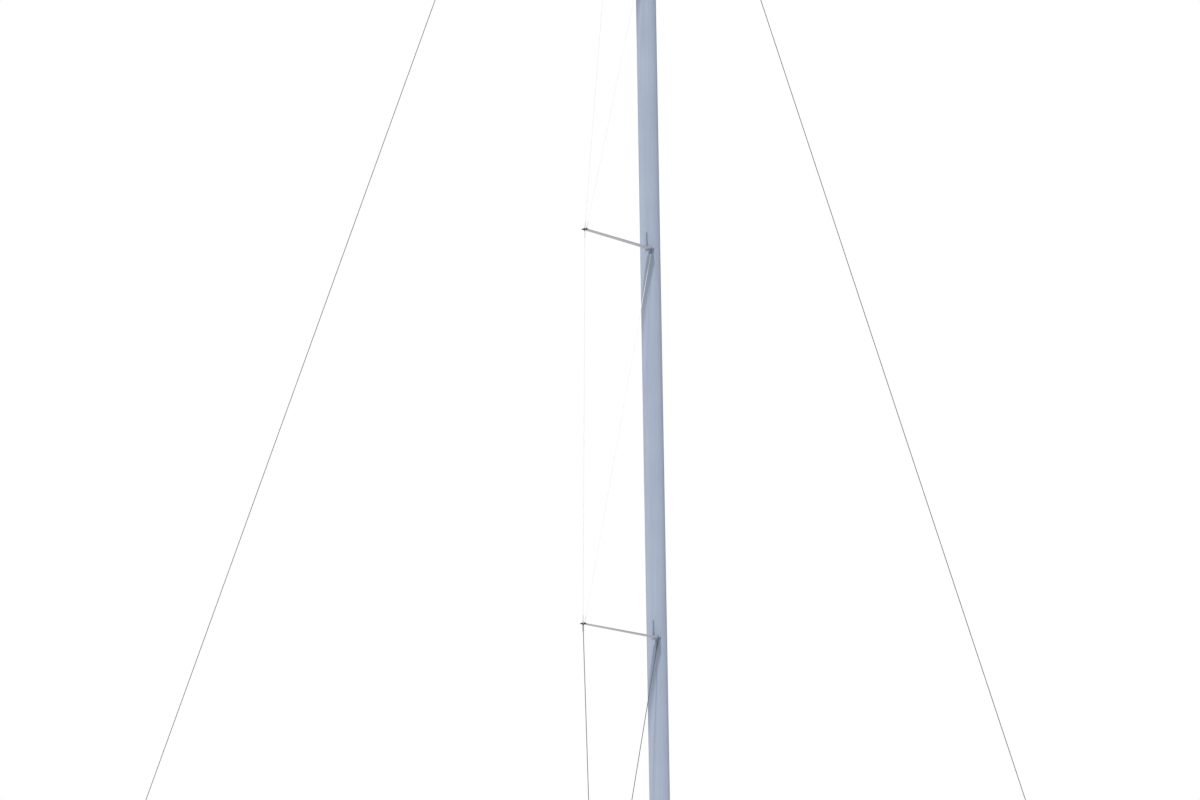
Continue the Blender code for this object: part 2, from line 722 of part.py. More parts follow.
hub = placed(turned(((-0.055, 0.009), (-0.050, 0.012), (-0.020, 0.012), (-0.015, 0.009)), 16), spindle)
steps = []
for arm in range(3):
    turn = Matrix.Rotation(math.tau * arm / 3, 4, "Z")
    spoke = placed(rod(VANE_ROD, 0.006, 0.058, 8), Matrix.Rotation(math.pi / 2, 4, "Y"))
    spoke = placed(spoke, spindle @ turn @ Matrix.Translation((0.0, 0.0, -CUPS_DROP)))
    cup = turned(((-0.016, 0.006), (-0.012, 0.014), (0.0, 0.019), (0.004, 0.0195)), 12)
    cup = placed(cup, spindle @ turn @ Matrix.Translation((CUPS_REACH, 0.0, -CUPS_DROP)) @ ACROSS)
    steps += [("add", spoke), ("add", cup)]
steps.append(("cut", placed(rod(SPINDLE_RADIUS + SPINDLE_ROOM, -OVER, 0.0, 16), spindle)))
cups = make("wind_cups", BLACK, hub, *steps)
carry(pivot("cups_spindle", spindle), cups)

hub = placed(turned(((0.018, 0.009), (0.022, 0.012), (0.045, 0.012), (0.050, 0.009)), 16), spindle)
pointer_spot = spindle @ Matrix.Translation((0.0, 0.0, VANE_RISE)) @ Matrix.Rotation(math.pi / 2, 4, "Y")
pointer = placed(rod(VANE_ROD, -0.150, 0.110, 8), pointer_spot)
tail_outline = ((-0.155, 0.022), (-0.085, 0.026), (-0.085, 0.046), (-0.155, 0.090))
tail = placed(prism(tail_outline, -VANE_ROD / 2, VANE_ROD / 2), ACROSS)
bore = placed(rod(SPINDLE_RADIUS + SPINDLE_ROOM, 0.0, OVER, 16), spindle)
steps = [("add", pointer), ("add", placed(tail, spindle)), ("cut", bore)]
vane = make("wind_vane", BLACK, hub, *steps)
carry(pivot("vane_spindle", spindle), vane)

# Wires. Each one starts and ends a gap away from the boss or screw that holds it
for side_name, sign in SIDES:
    cap_pin = mirrored(CAP_PIN, sign)
    lower_pin = mirrored(LOWER_PIN, sign)
    first = shroud_point(0, sign)
    second = shroud_point(1, sign)
    third = shroud_point(2, sign)
    hounds = hounds_point(sign)
    wire(
        f"cap_shroud_lower_{side_name}", WIRE,
        [up_stay(cap_pin, first, SCREW_LENGTH), up_stay(first, cap_pin, CAP_BOSS + GAP)], CAP_LOWER_RADIUS,
    )
    wire(
        f"cap_shroud_middle_{side_name}", BRIGHT,
        [up_stay(first, second, CAP_BOSS + GAP), up_stay(second, first, CAP_BOSS + GAP)], CAP_MIDDLE_RADIUS,
    )
    over_tip = [up_stay(second, third, CAP_BOSS + GAP), third, up_stay(hounds, third, HOUNDS_BOSS + GAP)]
    wire(f"cap_shroud_upper_{side_name}", BRIGHT, over_tip, CAP_UPPER_RADIUS)
    lower_top = tang(0, sign)
    lower_start = up_stay(lower_pin, lower_top, SCREW_LENGTH)
    lower_ends = [lower_start, up_stay(lower_top, lower_pin, TANG_BOSS + GAP)]
    wire(f"lower_shroud_{side_name}", WIRE, lower_ends, LOWER_RADIUS)
    for number in (1, 2):
        foot = diagonal_foot(number, sign)
        top = tang(number, sign)
        wire(
            f"diagonal_{number + 1}_{side_name}", BRIGHT,
            [up_stay(foot, top, CAP_BOSS + GAP), up_stay(top, foot, TANG_BOSS + GAP)], DIAGONAL_RADIUS,
        )
    middle = mirrored(SIDE_CHAINPLATE, sign)
    stays = ((cap_pin, first), (lower_pin, lower_top))
    chainplate(f"chainplate_{side_name}", STAINLESS, middle, SIDE_PLATE_SIZE, stays)
    rigging_screw(f"cap_shroud_screw_{side_name}", STAINLESS, cap_pin, first)
    rigging_screw(f"lower_shroud_screw_{side_name}", STAINLESS, lower_pin, lower_top)

for name, pin, top, boss in (
    ("forestay", STEM_PIN, forestay_top, FORESTAY_BOSS),
    ("backstay", STERN_PIN, backstay_top, BACKSTAY_BOSS),
):
    wire(name, WIRE, [up_stay(pin, top, SCREW_LENGTH), up_stay(top, pin, boss + GAP)], STAY_RADIUS)
    middle = Vector((pin.x, 0.0, 0.0))
    chainplate(f"{name}_chainplate", STAINLESS, middle, END_PLATE_SIZE, ((pin, top),))
    rigging_screw(f"{name}_screw", STAINLESS, pin, top)

# Gooseneck and vang heel: a bracket on the mast with two lugs, and a toggle between them
PIVOT_FORE = -MAST_LENGTH / 2 - PIVOT_AFT
CHEEK_IN = TONGUE / 2 + RUNNING


def bracket(name, height):
    spot = mast_frame(height, PIVOT_FORE)
    outline = saddle(MAST_STEPS // 2, 5, SADDLE)
    plate = placed(prism(outline, -BRACKET_HALF, BRACKET_HALF), mast_frame(height))
    steps = []
    for low, high in ((LUG_LOW, LUG_HIGH), (-LUG_HIGH, -LUG_LOW)):
        steps.append(("add", placed(prism(strap(PIVOT_AFT + BURIED, BRACKET_LUG), low, high), spot)))
    steps.append(("cut", placed(prism(mast_section(GAP), height - OVER, height + OVER), mast_frame(0.0))))
    steps.append(("cut", placed(rod(HOLE_RADIUS, -OVER, OVER), spot)))
    return make(name, STAINLESS, plate, *steps)


def pinned(half):
    """A pin with a head at both ends; half is where the heads start."""
    return turned((
        (-half - PIN_HEAD, PIN_HEAD_RADIUS), (-half, PIN_HEAD_RADIUS), (-half, PIN_RADIUS),
        (half, PIN_RADIUS), (half, PIN_HEAD_RADIUS), (half + PIN_HEAD, PIN_HEAD_RADIUS),
    ))


def toggle(name, height):
    spot = mast_frame(height, PIVOT_FORE)
    body = placed(rod(TOGGLE_RADIUS, -LUG_LOW + RUNNING, LUG_LOW - RUNNING), spot)
    tongue_outline = arc(TONGUE_RADIUS, math.pi / 2, 3 * math.pi / 2, 6, (-TONGUE_AFT, 0.0))
    tongue_outline += [(0.0, -TONGUE_RADIUS), (0.0, TONGUE_RADIUS)]
    tongue = placed(prism(tongue_outline, -TONGUE / 2, TONGUE / 2), ACROSS)
    cross_spot = Matrix.Translation((-TONGUE_AFT, 0.0, 0.0)) @ ACROSS
    cross = placed(pinned(CHEEK_IN + FORK_CHEEK + RUNNING), cross_spot)
    return make(
        name, STAINLESS, body,
        ("add", placed(pinned(LUG_HIGH + RUNNING), spot)),
        ("add", placed(tongue, spot)),
        ("add", placed(cross, spot)),
    )


def side_plate(outline, low, high):
    """A plate across Y from an outline of (along, up) points."""
    return loft([[(up, y, along) for along, up in outline] for y in (low, high)])


def fork(reach, height):
    """The two cheeks that straddle a toggle's tongue, and the hole through them."""
    outline = arc(FORK_RADIUS, math.pi / 2, 3 * math.pi / 2, 6) + [(reach, -height), (reach, height)]
    steps = []
    for sign in (-1, 1):
        low, high = sorted((sign * CHEEK_IN, sign * (CHEEK_IN + FORK_CHEEK)))
        steps.append(("add", side_plate(outline, low, high)))
    steps.append(("cut", placed(rod(HOLE_RADIUS, -OVER, OVER), ACROSS)))
    return steps


def moved(steps, matrix):
    return [(kind, placed(solid, matrix)) for kind, solid in steps]


bracket("gooseneck_bracket", GOOSENECK_HEIGHT)
bracket("vang_bracket", VANG_HEIGHT)
gooseneck = toggle("gooseneck_toggle", GOOSENECK_HEIGHT)
vang_toggle = toggle("vang_toggle", VANG_HEIGHT)

# Boom: an oval tube closed by a forked front casting and an end casting
boom_way = Vector((-math.cos(BOOM_RISE), 0.0, math.sin(BOOM_RISE)))
boom_spot = frame(on_mast(GOOSENECK_HEIGHT, PIVOT_FORE - TONGUE_AFT), boom_way, UP)
outer = rounded(BOOM_DEPTH, BOOM_WIDTH, BOOM_CORNER, 5)
inner = rounded(BOOM_DEPTH - 2 * BOOM_WALL, BOOM_WIDTH - 2 * BOOM_WALL, BOOM_CORNER - BOOM_WALL, 5)
plug_size = 2 * (BOOM_WALL + GAP)
plug = rounded(BOOM_DEPTH - plug_size, BOOM_WIDTH - plug_size, BOOM_CORNER - plug_size / 2, 5)
boom_tube = make(
    "boom_tube", SPAR, placed(prism(outer, TUBE_START + GAP, BOOM_LENGTH), boom_spot),
    ("cut", placed(prism(inner, TUBE_START - OVER, BOOM_LENGTH + OVER), boom_spot)),
)
boom_front = make(
    "boom_front", CAST, placed(prism(outer, FRONT_FACE, TUBE_START), boom_spot),
    ("add", placed(prism(plug, TUBE_START - BURIED, TUBE_START + BOOM_PLUG), boom_spot)),
    *moved(fork(FRONT_FACE + BURIED, TONGUE_RADIUS * 2), boom_spot),
)
tapered = rounded(BOOM_DEPTH - 2 * END_TAPER, BOOM_WIDTH - 2 * END_TAPER, BOOM_CORNER - END_TAPER, 5)
end_rings = []
for outline, along in ((outer, GAP), (outer, END_CAP), (tapered, END_CAP + END_TAPER)):
    along += BOOM_LENGTH
    end_rings.append([boom_spot @ Vector((x, y, along)) for x, y in outline])
boom_end = make(
    "boom_end", CAST, loft(end_rings),
    ("add", placed(prism(plug, BOOM_LENGTH - BOOM_PLUG, BOOM_LENGTH + BURIED), boom_spot)),
)
lug_top = -BOOM_DEPTH / 2 - GAP
lug_middle = lug_top - VANG_LUG_SIZE[0] / 2
lug_outline = (
    [(VANG_ALONG + x, -VANG_BELOW + z) for x, z in arc(EYE_RADIUS, math.pi, math.tau, 6)]
    + [(VANG_ALONG + VANG_LUG_HALF, lug_middle), (VANG_ALONG - VANG_LUG_HALF, lug_middle)]
)
lug_plate = block(VANG_LUG_SIZE, (lug_middle, 0.0, VANG_ALONG))
steps = []
for sign in (-1, 1):
    low, high = sorted((sign * (EYE_HALF + EYE_GAP), sign * (EYE_HALF + EYE_GAP + VANG_CHEEK)))
    steps.append(("add", placed(side_plate(lug_outline, low, high), boom_spot)))
vang_lug = make("vang_lug", STAINLESS, placed(lug_plate, boom_spot), *steps)

# Rigid vang: a barrel hinged at the mast, and a rod that slides in it up to the boom
vang_foot = on_mast(VANG_HEIGHT, PIVOT_FORE - TONGUE_AFT)
vang_head = boom_spot @ Vector((-VANG_BELOW, 0.0, VANG_ALONG))
vang_spot = frame(vang_foot, vang_head - vang_foot, UP)
vang_length = (vang_head - vang_foot).length
barrel_end = BARREL_START + BARREL_LENGTH
barrel = turned((
    (BARREL_START, BARREL_RADIUS * 0.8), (BARREL_START + GLAND / 4, BARREL_RADIUS),
    (barrel_end - GLAND, BARREL_RADIUS), (barrel_end - GLAND + GLAND_LIP, BARREL_RADIUS + GLAND_LIP),
    (barrel_end - GLAND_LIP, BARREL_RADIUS + GLAND_LIP), (barrel_end, BARREL_RADIUS),
), 16)
vang_barrel = make(
    "vang_barrel", CAST, placed(barrel, vang_spot),
    ("cut", placed(rod(BARREL_BORE, BORE_START, barrel_end + OVER, 16), vang_spot)),
    *moved(fork(BARREL_START + BURIED, EYE_RADIUS), vang_spot),
)
rod_solid = turned((
    (barrel_end - ROD_IN_BARREL, ROD_RADIUS), (vang_length - 0.060, ROD_RADIUS),
    (vang_length - 0.045, 0.014), (vang_length - EYE_HALF, 0.0098),
), 14)
rod_eye = placed(rod(EYE_RADIUS, -EYE_HALF, EYE_HALF), Matrix.Translation((0.0, 0.0, vang_length)) @ ACROSS)
vang_rod = make("vang_rod", STAINLESS, placed(rod_solid, vang_spot), ("add", placed(rod_eye, vang_spot)))

swing = pivot("boom_swing_axis", mast_frame(GOOSENECK_HEIGHT, PIVOT_FORE))
carry(swing, gooseneck)
lift = pivot("boom_lift_axis", boom_spot, swing)
carry(lift, boom_tube, boom_front, boom_end, vang_lug)
vang_swing = pivot("vang_swing_axis", mast_frame(VANG_HEIGHT, PIVOT_FORE))
carry(vang_swing, vang_toggle)
vang_pitch = pivot("vang_pitch_axis", vang_spot, vang_swing)
carry(vang_pitch, vang_barrel)
vang_slide = pivot("vang_slide_axis", vang_spot @ Matrix.Translation((0.0, 0.0, vang_length)), vang_pitch)
carry(vang_slide, vang_rod)
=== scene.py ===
import json
import math

import bmesh
import bpy
from mathutils import Matrix, Vector


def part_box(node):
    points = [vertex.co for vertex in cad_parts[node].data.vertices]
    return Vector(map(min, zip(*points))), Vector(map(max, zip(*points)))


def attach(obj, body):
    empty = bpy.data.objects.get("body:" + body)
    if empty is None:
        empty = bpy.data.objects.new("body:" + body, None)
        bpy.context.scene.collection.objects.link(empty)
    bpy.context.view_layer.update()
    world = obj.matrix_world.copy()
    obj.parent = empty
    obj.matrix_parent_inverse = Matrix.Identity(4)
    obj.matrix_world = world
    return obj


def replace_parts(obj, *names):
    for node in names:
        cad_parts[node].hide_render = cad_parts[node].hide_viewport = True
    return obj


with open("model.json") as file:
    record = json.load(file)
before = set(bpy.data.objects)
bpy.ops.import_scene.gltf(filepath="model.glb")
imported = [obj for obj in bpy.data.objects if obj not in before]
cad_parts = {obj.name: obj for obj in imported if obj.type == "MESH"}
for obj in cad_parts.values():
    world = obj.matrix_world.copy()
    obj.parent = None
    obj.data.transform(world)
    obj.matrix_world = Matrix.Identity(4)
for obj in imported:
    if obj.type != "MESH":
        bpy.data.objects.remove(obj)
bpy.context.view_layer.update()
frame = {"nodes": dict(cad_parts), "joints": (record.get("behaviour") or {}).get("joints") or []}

nodes = frame["nodes"]
joints = {joint["name"]: joint for joint in frame["joints"]}


# The place it stands in: a pale painted floor at deck level, a white surround and soft light.
# The eye is close to the floor, far off on the starboard bow, and looks up the mast.
def linear(colour):
    """An sRGB hex colour as the linear values that a shader works in."""
    channels = [int(colour[i:i + 2], 16) / 255 for i in (1, 3, 5)]
    levels = [c / 12.92 if c <= 0.04045 else ((c + 0.055) / 1.055) ** 2.4 for c in channels]
    return (*levels, 1.0)


def add_node(tree, kind, settings=(), **links):
    """A node with its settings. A link names an input, or i and its number, and gives it another
    node's output or a plain value."""
    node = tree.nodes.new(kind)
    for name, value in dict(settings).items():
        setattr(node, name, value)
    for name, value in links.items():
        place = int(name[1:]) if name[1:].isdigit() else name.replace("_", " ")
        socket = node.inputs[place]
        if isinstance(value, bpy.types.NodeSocket):
            tree.links.new(value, socket)
        else:
            socket.default_value = value
    return node


def new_finish(name, metallic, roughness, **constants):
    """A material, its tree and its Principled shader, which holds what is the same all over."""
    finish = bpy.data.materials.new(name)
    finish.use_nodes = True
    shader = finish.node_tree.nodes["Principled BSDF"]
    shader.inputs["Metallic"].default_value = metallic
    shader.inputs["Roughness"].default_value = roughness
    for socket, value in constants.items():
        shader.inputs[socket.replace("_", " ")].default_value = value
    return finish, finish.node_tree, shader


# Matt floor paint, rolled on: it has a faint nap of about 3 mm, and its colour is slightly
# cloudy over some 3 m.
FLOOR_HALF = 250.0
FLOOR_NAP = 0.003
FLOOR_CLOUDS = 0.35
floor_paint, tree, shader = new_finish("rolled floor paint", 0.0, 0.85)
where = add_node(tree, "ShaderNodeTexCoord").outputs["Object"]
clouds = add_node(tree, "ShaderNodeTexNoise", Vector=where, Scale=FLOOR_CLOUDS, Detail=3.0)
shade = add_node(
    tree, "ShaderNodeMix", {"data_type": "RGBA"},
    i0=clouds.outputs[0], i6=linear("#E6E6E4"), i7=linear("#ECECEA"),
)
tree.links.new(shade.outputs[2], shader.inputs["Base Color"])
nap = add_node(tree, "ShaderNodeTexNoise", Vector=where, Scale=1 / FLOOR_NAP)
bump = add_node(tree, "ShaderNodeBump", Strength=0.15, Distance=FLOOR_NAP / 10, Height=nap.outputs[0])
tree.links.new(bump.outputs[0], shader.inputs["Normal"])

floor_mesh = bpy.data.meshes.new("floor")
floor_corners = [(x * FLOOR_HALF, y * FLOOR_HALF, 0) for x, y in ((-1, -1), (1, -1), (1, 1), (-1, 1))]
floor_mesh.from_pydata(floor_corners, [], [(0, 1, 2, 3)])
floor = bpy.data.objects.new("floor", floor_mesh)
bpy.context.scene.collection.objects.link(floor)
floor.data.materials.append(floor_paint)

# The surround shows white, and lights as an even, slightly blue sky.
world = bpy.data.worlds.new("white surround")
bpy.context.scene.world = world
bpy.context.scene.view_settings.view_transform = "Standard"
world.use_nodes = True
tree = world.node_tree
tree.nodes.clear()
SKY_COLOUR = (0.74, 0.88, 1.0, 1)
SKY_STRENGTH = 0.38
seen = add_node(tree, "ShaderNodeBackground", Color=(1, 1, 1, 1), Strength=1.0)
lit = add_node(tree, "ShaderNodeBackground", Color=SKY_COLOUR, Strength=SKY_STRENGTH)
ray = add_node(tree, "ShaderNodeLightPath")
mix = add_node(
    tree, "ShaderNodeMixShader", i0=ray.outputs["Is Camera Ray"], i1=lit.outputs[0], i2=seen.outputs[0],
)
add_node(tree, "ShaderNodeOutputWorld", Surface=mix.outputs[0])

# A high key light abeam to starboard, and a wide low fill from the starboard quarter. Each has
# its strength, its spread in degrees, its colour and its turns in degrees.
LAMPS = (
    ("high key", 2.6, 4, (1.0, 0.985, 0.965), (28, 0, -4)),
    ("quarter fill", 0.52, 60, (1.0, 0.94, 0.86), (66, 0, -76)),
)
for name, energy, spread, colour, turn in LAMPS:
    lamp = bpy.data.lights.new(name, "SUN")
    lamp.energy = energy
    lamp.angle = math.radians(spread)
    lamp.color = colour
    lamp_object = bpy.data.objects.new(name, lamp)
    bpy.context.scene.collection.objects.link(lamp_object)
    lamp_object.rotation_euler = [math.radians(angle) for angle in turn]

EYE_PLACE = (14.711, -43.712, 0.404)
EYE_TILT = 98.561
EYE_TURN = 19.502
LENS_LENGTH = 120.108
LENS_REACH = 600
lens = bpy.data.cameras.new("eye")
lens.lens = LENS_LENGTH
lens.clip_end = LENS_REACH
eye = bpy.data.objects.new("eye", lens)
bpy.context.scene.collection.objects.link(eye)
eye.location = EYE_PLACE
eye.rotation_euler = (math.radians(EYE_TILT), 0, math.radians(EYE_TURN))
bpy.context.scene.camera = eye


# Mast tube: an oval aluminium extrusion, sprayed with blue-grey two-part paint, with the luff
# groove open down its after side. It leans aft, so what sits on it is placed along its own line.
MAST_UP = Vector(joints["boom_swing"]["axis"])
MAST_FORE = Vector((MAST_UP.z, 0.0, -MAST_UP.x))
PORT = Vector((0.0, 1.0, 0.0))
FORE = Vector((1.0, 0.0, 0.0))
SIDES = (("port", 1), ("starboard", -1))
HALF_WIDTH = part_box("mast_tube")[1].y
HALF_LENGTH = max(corner.co.dot(MAST_FORE) for corner in nodes["mast_tube"].data.vertices)
SMOOTH_BELOW = math.radians(32)
BROKEN_ABOVE = math.radians(40)
WELD_WITHIN = 0.00002


def on_mast(height, fore=0.0, side=0.0):
    """The point at a height up the mast, off its middle line."""
    return MAST_UP * height + MAST_FORE * fore + PORT * side


def on_wall(height, fore, sign, off=0.0):
    """A point on the mast's side wall, moved outwards."""
    wall = HALF_WIDTH * math.sqrt(1.0 - (fore / HALF_LENGTH) ** 2)
    return on_mast(height, fore, sign * (wall + off))


def frame_at(origin, z_axis, x_axis):
    """The matrix that puts a shape's Z along z_axis and its X near x_axis."""
    z = z_axis.normalized()
    y = z.cross(x_axis).normalized()
    matrix = Matrix((y.cross(z), y, z)).transposed().to_4x4()
    matrix.translation = origin
    return matrix


# Welds a node's corners and shades it round, with its real edges left crisp.
crisp = bpy.data.node_groups.new("crisp edges", "GeometryNodeTree")
crisp.interface.new_socket("Geometry", in_out="INPUT", socket_type="NodeSocketGeometry")
crisp.interface.new_socket("Geometry", in_out="OUTPUT", socket_type="NodeSocketGeometry")
skin = add_node(crisp, "NodeGroupInput").outputs[0]
skin = add_node(crisp, "GeometryNodeMergeByDistance", Geometry=skin, Distance=WELD_WITHIN).outputs[0]
skin = add_node(crisp, "GeometryNodeSetShadeSmooth", {"domain": "FACE"}, i0=skin, i2=True).outputs[0]
fold = add_node(crisp, "GeometryNodeInputMeshEdgeAngle").outputs[0]
edge = add_node(crisp, "FunctionNodeCompare", {"operation": "GREATER_THAN"}, i0=fold, i1=SMOOTH_BELOW)
skin = add_node(
    crisp, "GeometryNodeSetShadeSmooth", {"domain": "EDGE"}, i0=skin, i1=edge.outputs[0], i2=False,
).outputs[0]
add_node(crisp, "NodeGroupOutput", i0=skin)


def keep(node, finish, broken_edge=0.0):
    """A frame node stays as it is, in its finish, with round shading and its sharp edges broken."""
    shape = nodes[node]
    shape.data.materials.clear()
    shape.data.materials.append(finish)
    shape.modifiers.new("crisp edges", "NODES").node_group = crisp
    if broken_edge:
        bevel = shape.modifiers.new("broken edge", "BEVEL")
        bevel.width = broken_edge
        bevel.segments = 2
        bevel.angle_limit = BROKEN_ABOVE
        bevel.harden_normals = True


# Two-part polyurethane over aluminium: satin, with a fine orange peel of about 2 mm, faint runs
# of weathering along the extrusion and slightly cloudy gloss.
ORANGE_PEEL = 0.002
RUN_WIDTH = 0.020
RUN_LENGTH = 1.4
SPAR_CLOUDS = 1.6


def spar_finish(name, run):
    """Sprayed paint on an extrusion; run gives the length of its faint runs along X, Y and Z."""
    finish, tree, shader = new_finish(name, 0.0, 0.4, Coat_Weight=0.15, Coat_Roughness=0.22)
    where = add_node(tree, "ShaderNodeTexCoord").outputs["Object"]
    stretched = add_node(tree, "ShaderNodeMapping", Vector=where, Scale=[1 / length for length in run])
    runs = add_node(
        tree, "ShaderNodeTexNoise", Vector=stretched.outputs[0], Scale=1.0, Detail=4.0, Roughness=0.6,
    )
    clouds = add_node(tree, "ShaderNodeTexNoise", Vector=where, Scale=SPAR_CLOUDS, Detail=3.0)
    amount = add_node(
        tree, "ShaderNodeMath", {"operation": "MULTIPLY"}, i0=runs.outputs[0], i1=clouds.outputs[0],
    )
    shade = add_node(tree, "ShaderNodeValToRGB", i0=amount.outputs[0])
    shade.color_ramp.elements[0].position = 0.12
    shade.color_ramp.elements[0].color = linear("#A3ABBF")
    shade.color_ramp.elements[1].position = 0.42
    shade.color_ramp.elements[1].color = linear("#ADB5C6")
    tree.links.new(shade.outputs[0], shader.inputs["Base Color"])
    gloss = add_node(tree, "ShaderNodeMapRange", Value=clouds.outputs[0], To_Min=0.34, To_Max=0.48)
    tree.links.new(gloss.outputs[0], shader.inputs["Roughness"])
    peel = add_node(tree, "ShaderNodeTexNoise", Vector=where, Scale=1 / ORANGE_PEEL, Detail=1.0)
    bump = add_node(
        tree, "ShaderNodeBump", Strength=0.12, Distance=ORANGE_PEEL / 20, Height=peel.outputs[0],
    )
    tree.links.new(bump.outputs[0], shader.inputs["Normal"])
    return finish


spar_paint = spar_finish("polyurethane spar paint", (RUN_WIDTH, RUN_WIDTH, RUN_LENGTH))
keep("mast_tube", spar_paint)


def join_rings(solid, rings, caps=True, looped=False):
    """A skin through rings of points, with flat ends or closed on itself."""
    loops = [[solid.verts.new(point) for point in ring] for ring in rings]
    if looped:
        loops.append(loops[0])
    count = len(loops[0])
    for low, high in zip(loops, loops[1:]):
        for i in range(count):
            j = (i + 1) % count
            solid.faces.new((low[i], low[j], high[j], high[i]))
    if caps and not looped:
        solid.faces.new(loops[0][::-1])
        solid.faces.new(loops[-1])


def round_ring(spot, radius, sides, along=0.0):
    """A ring of points about the Z of spot."""
    turns = [math.tau * side / sides for side in range(sides)]
    return [spot @ Vector((radius * math.cos(t), radius * math.sin(t), along)) for t in turns]


def turn_profile(solid, profile, spot, sides=16):
    """A round shape about the Z of spot, from (along, radius) steps."""
    join_rings(solid, [round_ring(spot, radius, sides, along) for along, radius in profile])


def add_piece(name, solid, finishes, body="mast"):
    """A new mesh that rides on a body, shaded round up to its crisp edges."""
    bmesh.ops.recalc_face_normals(solid, faces=solid.faces)
    mesh = bpy.data.meshes.new(name)
    solid.to_mesh(mesh)
    solid.free()
    for finish in finishes:
        mesh.materials.append(finish)
    mesh.shade_smooth()
    mesh.set_sharp_from_angle(angle=SMOOTH_BELOW)
    shape = bpy.data.objects.new(name, mesh)
    bpy.context.scene.collection.objects.link(shape)
    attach(shape, body)
    return shape


# Stainless fittings: cast or cut 316, electropolished. Bright, with fine polishing lines and, as
# at sea, a little brown tea staining in patches. The lines are drawn coarser than real, 0.4 mm
# apart, so that they show.
POLISH_LINE = 0.0004
POLISH_RUNS = 40.0
STAIN_PATCHES = 18.0
stainless, tree, shader = new_finish("electropolished 316 stainless", 1.0, 0.2)
where = add_node(tree, "ShaderNodeTexCoord").outputs["Object"]
patches = add_node(
    tree, "ShaderNodeTexNoise", Vector=where, Scale=STAIN_PATCHES, Detail=5.0, Roughness=0.65,
)
stain = add_node(
    tree, "ShaderNodeMapRange", Value=patches.outputs[0], From_Min=0.56, From_Max=0.8, To_Max=0.45,
)
shade = add_node(
    tree, "ShaderNodeMix", {"data_type": "RGBA"},
    i0=stain.outputs[0], i6=linear("#CFCECA"), i7=linear("#A58A66"),
)
tree.links.new(shade.outputs[2], shader.inputs["Base Color"])
lines = add_node(tree, "ShaderNodeMapping", Vector=where, Scale=(1 / POLISH_LINE, POLISH_RUNS, POLISH_RUNS))
polish = add_node(tree, "ShaderNodeTexNoise", Vector=lines.outputs[0], Scale=1.0, Detail=2.0)
gloss = add_node(tree, "ShaderNodeMapRange", Value=polish.outputs[0], To_Min=0.14, To_Max=0.32)
tree.links.new(gloss.outputs[0], shader.inputs["Roughness"])
bump = add_node(tree, "ShaderNodeBump", Strength=0.08, Distance=POLISH_LINE / 20, Height=polish.outputs[0])
tree.links.new(bump.outputs[0], shader.inputs["Normal"])


# Halyard exits: a pressed stainless plate riveted round each slot in the tube, with a rolled
# edge for the line to run over. Each has its height and its side.
EXITS = ((1.75, 1), (2.05, -1))
EXIT_FORE = 0.03
SLOT_LENGTH = 0.13
SLOT_WIDTH = 0.022
EXIT_BORDER = 0.012
EXIT_PROUD = 0.0022
EXIT_RIVETS_OUT = EXIT_BORDER * 0.55
EXIT_RIVET = (0.0022, 0.001)
EXIT_SECTION = (
    (EXIT_BORDER, 0.0), (EXIT_BORDER - 0.001, EXIT_PROUD), (0.003, EXIT_PROUD),
    (0.0005, EXIT_PROUD + 0.001), (-0.0012, EXIT_PROUD - 0.0005), (-0.0018, -0.006),
)


def slot_outline(spread, steps=8):
    """A slot's edge as (fore, up) points, spread outwards."""
    radius = SLOT_WIDTH / 2 + spread
    straight = SLOT_LENGTH / 2 - SLOT_WIDTH / 2
    points = []
    for end, start in ((1, 0.0), (-1, math.pi)):
        for step in range(steps + 1):
            turn = start + math.pi * step / steps
            points.append((radius * math.cos(turn), end * straight + radius * math.sin(turn)))
    return points


def add_rivet(solid, point, out, radius=0.0035, height=0.0014):
    """A domed rivet head."""
    profile = [(-height, radius)] + [
        (height * math.sin(turn), radius * math.cos(turn) + 0.00001)
        for turn in [math.pi / 2 * step / 4 for step in range(5)]
    ]
    across = MAST_UP if abs(out.dot(MAST_UP)) < 0.9 else FORE
    turn_profile(solid, profile, frame_at(point, out, across), 12)


exit_frames = bmesh.new()
for height, sign in EXITS:
    rings = [
        [on_wall(height + up, EXIT_FORE + fore, sign, off) for fore, up in slot_outline(spread)]
        for spread, off in EXIT_SECTION
    ]
    join_rings(exit_frames, rings, looped=True)
    for fore, up in slot_outline(EXIT_RIVETS_OUT, 2):
        point = on_wall(height + up, EXIT_FORE + fore, sign, EXIT_PROUD)
        add_rivet(exit_frames, point, PORT * sign, *EXIT_RIVET)
add_piece("halyard_exits", exit_frames, [stainless])


# Mast step: a sand-cast aluminium shoe, anodised, bolted down through the deck. The tube's heel
# sits round its plug and is pinned across. The sand leaves a dull 1.2 mm grain, and the
# anodising takes in soft patches.
CAST_GRAIN = 0.0012
CAST_CLOUDS = 14.0
anodised_casting, tree, shader = new_finish("anodised sand casting", 0.55, 0.5)
where = add_node(tree, "ShaderNodeTexCoord").outputs["Object"]
grain = add_node(tree, "ShaderNodeTexNoise", Vector=where, Scale=1 / CAST_GRAIN, Detail=3.0)
clouds = add_node(tree, "ShaderNodeTexNoise", Vector=where, Scale=CAST_CLOUDS, Detail=4.0)
shade = add_node(
    tree, "ShaderNodeMix", {"data_type": "RGBA"},
    i0=clouds.outputs[0], i6=linear("#7D8899"), i7=linear("#97A2B2"),
)
tree.links.new(shade.outputs[2], shader.inputs["Base Color"])
gloss = add_node(tree, "ShaderNodeMapRange", Value=clouds.outputs[0], To_Min=0.42, To_Max=0.6)
tree.links.new(gloss.outputs[0], shader.inputs["Roughness"])
bump = add_node(tree, "ShaderNodeBump", Strength=0.25, Distance=CAST_GRAIN / 10, Height=grain.outputs[0])
tree.links.new(bump.outputs[0], shader.inputs["Normal"])
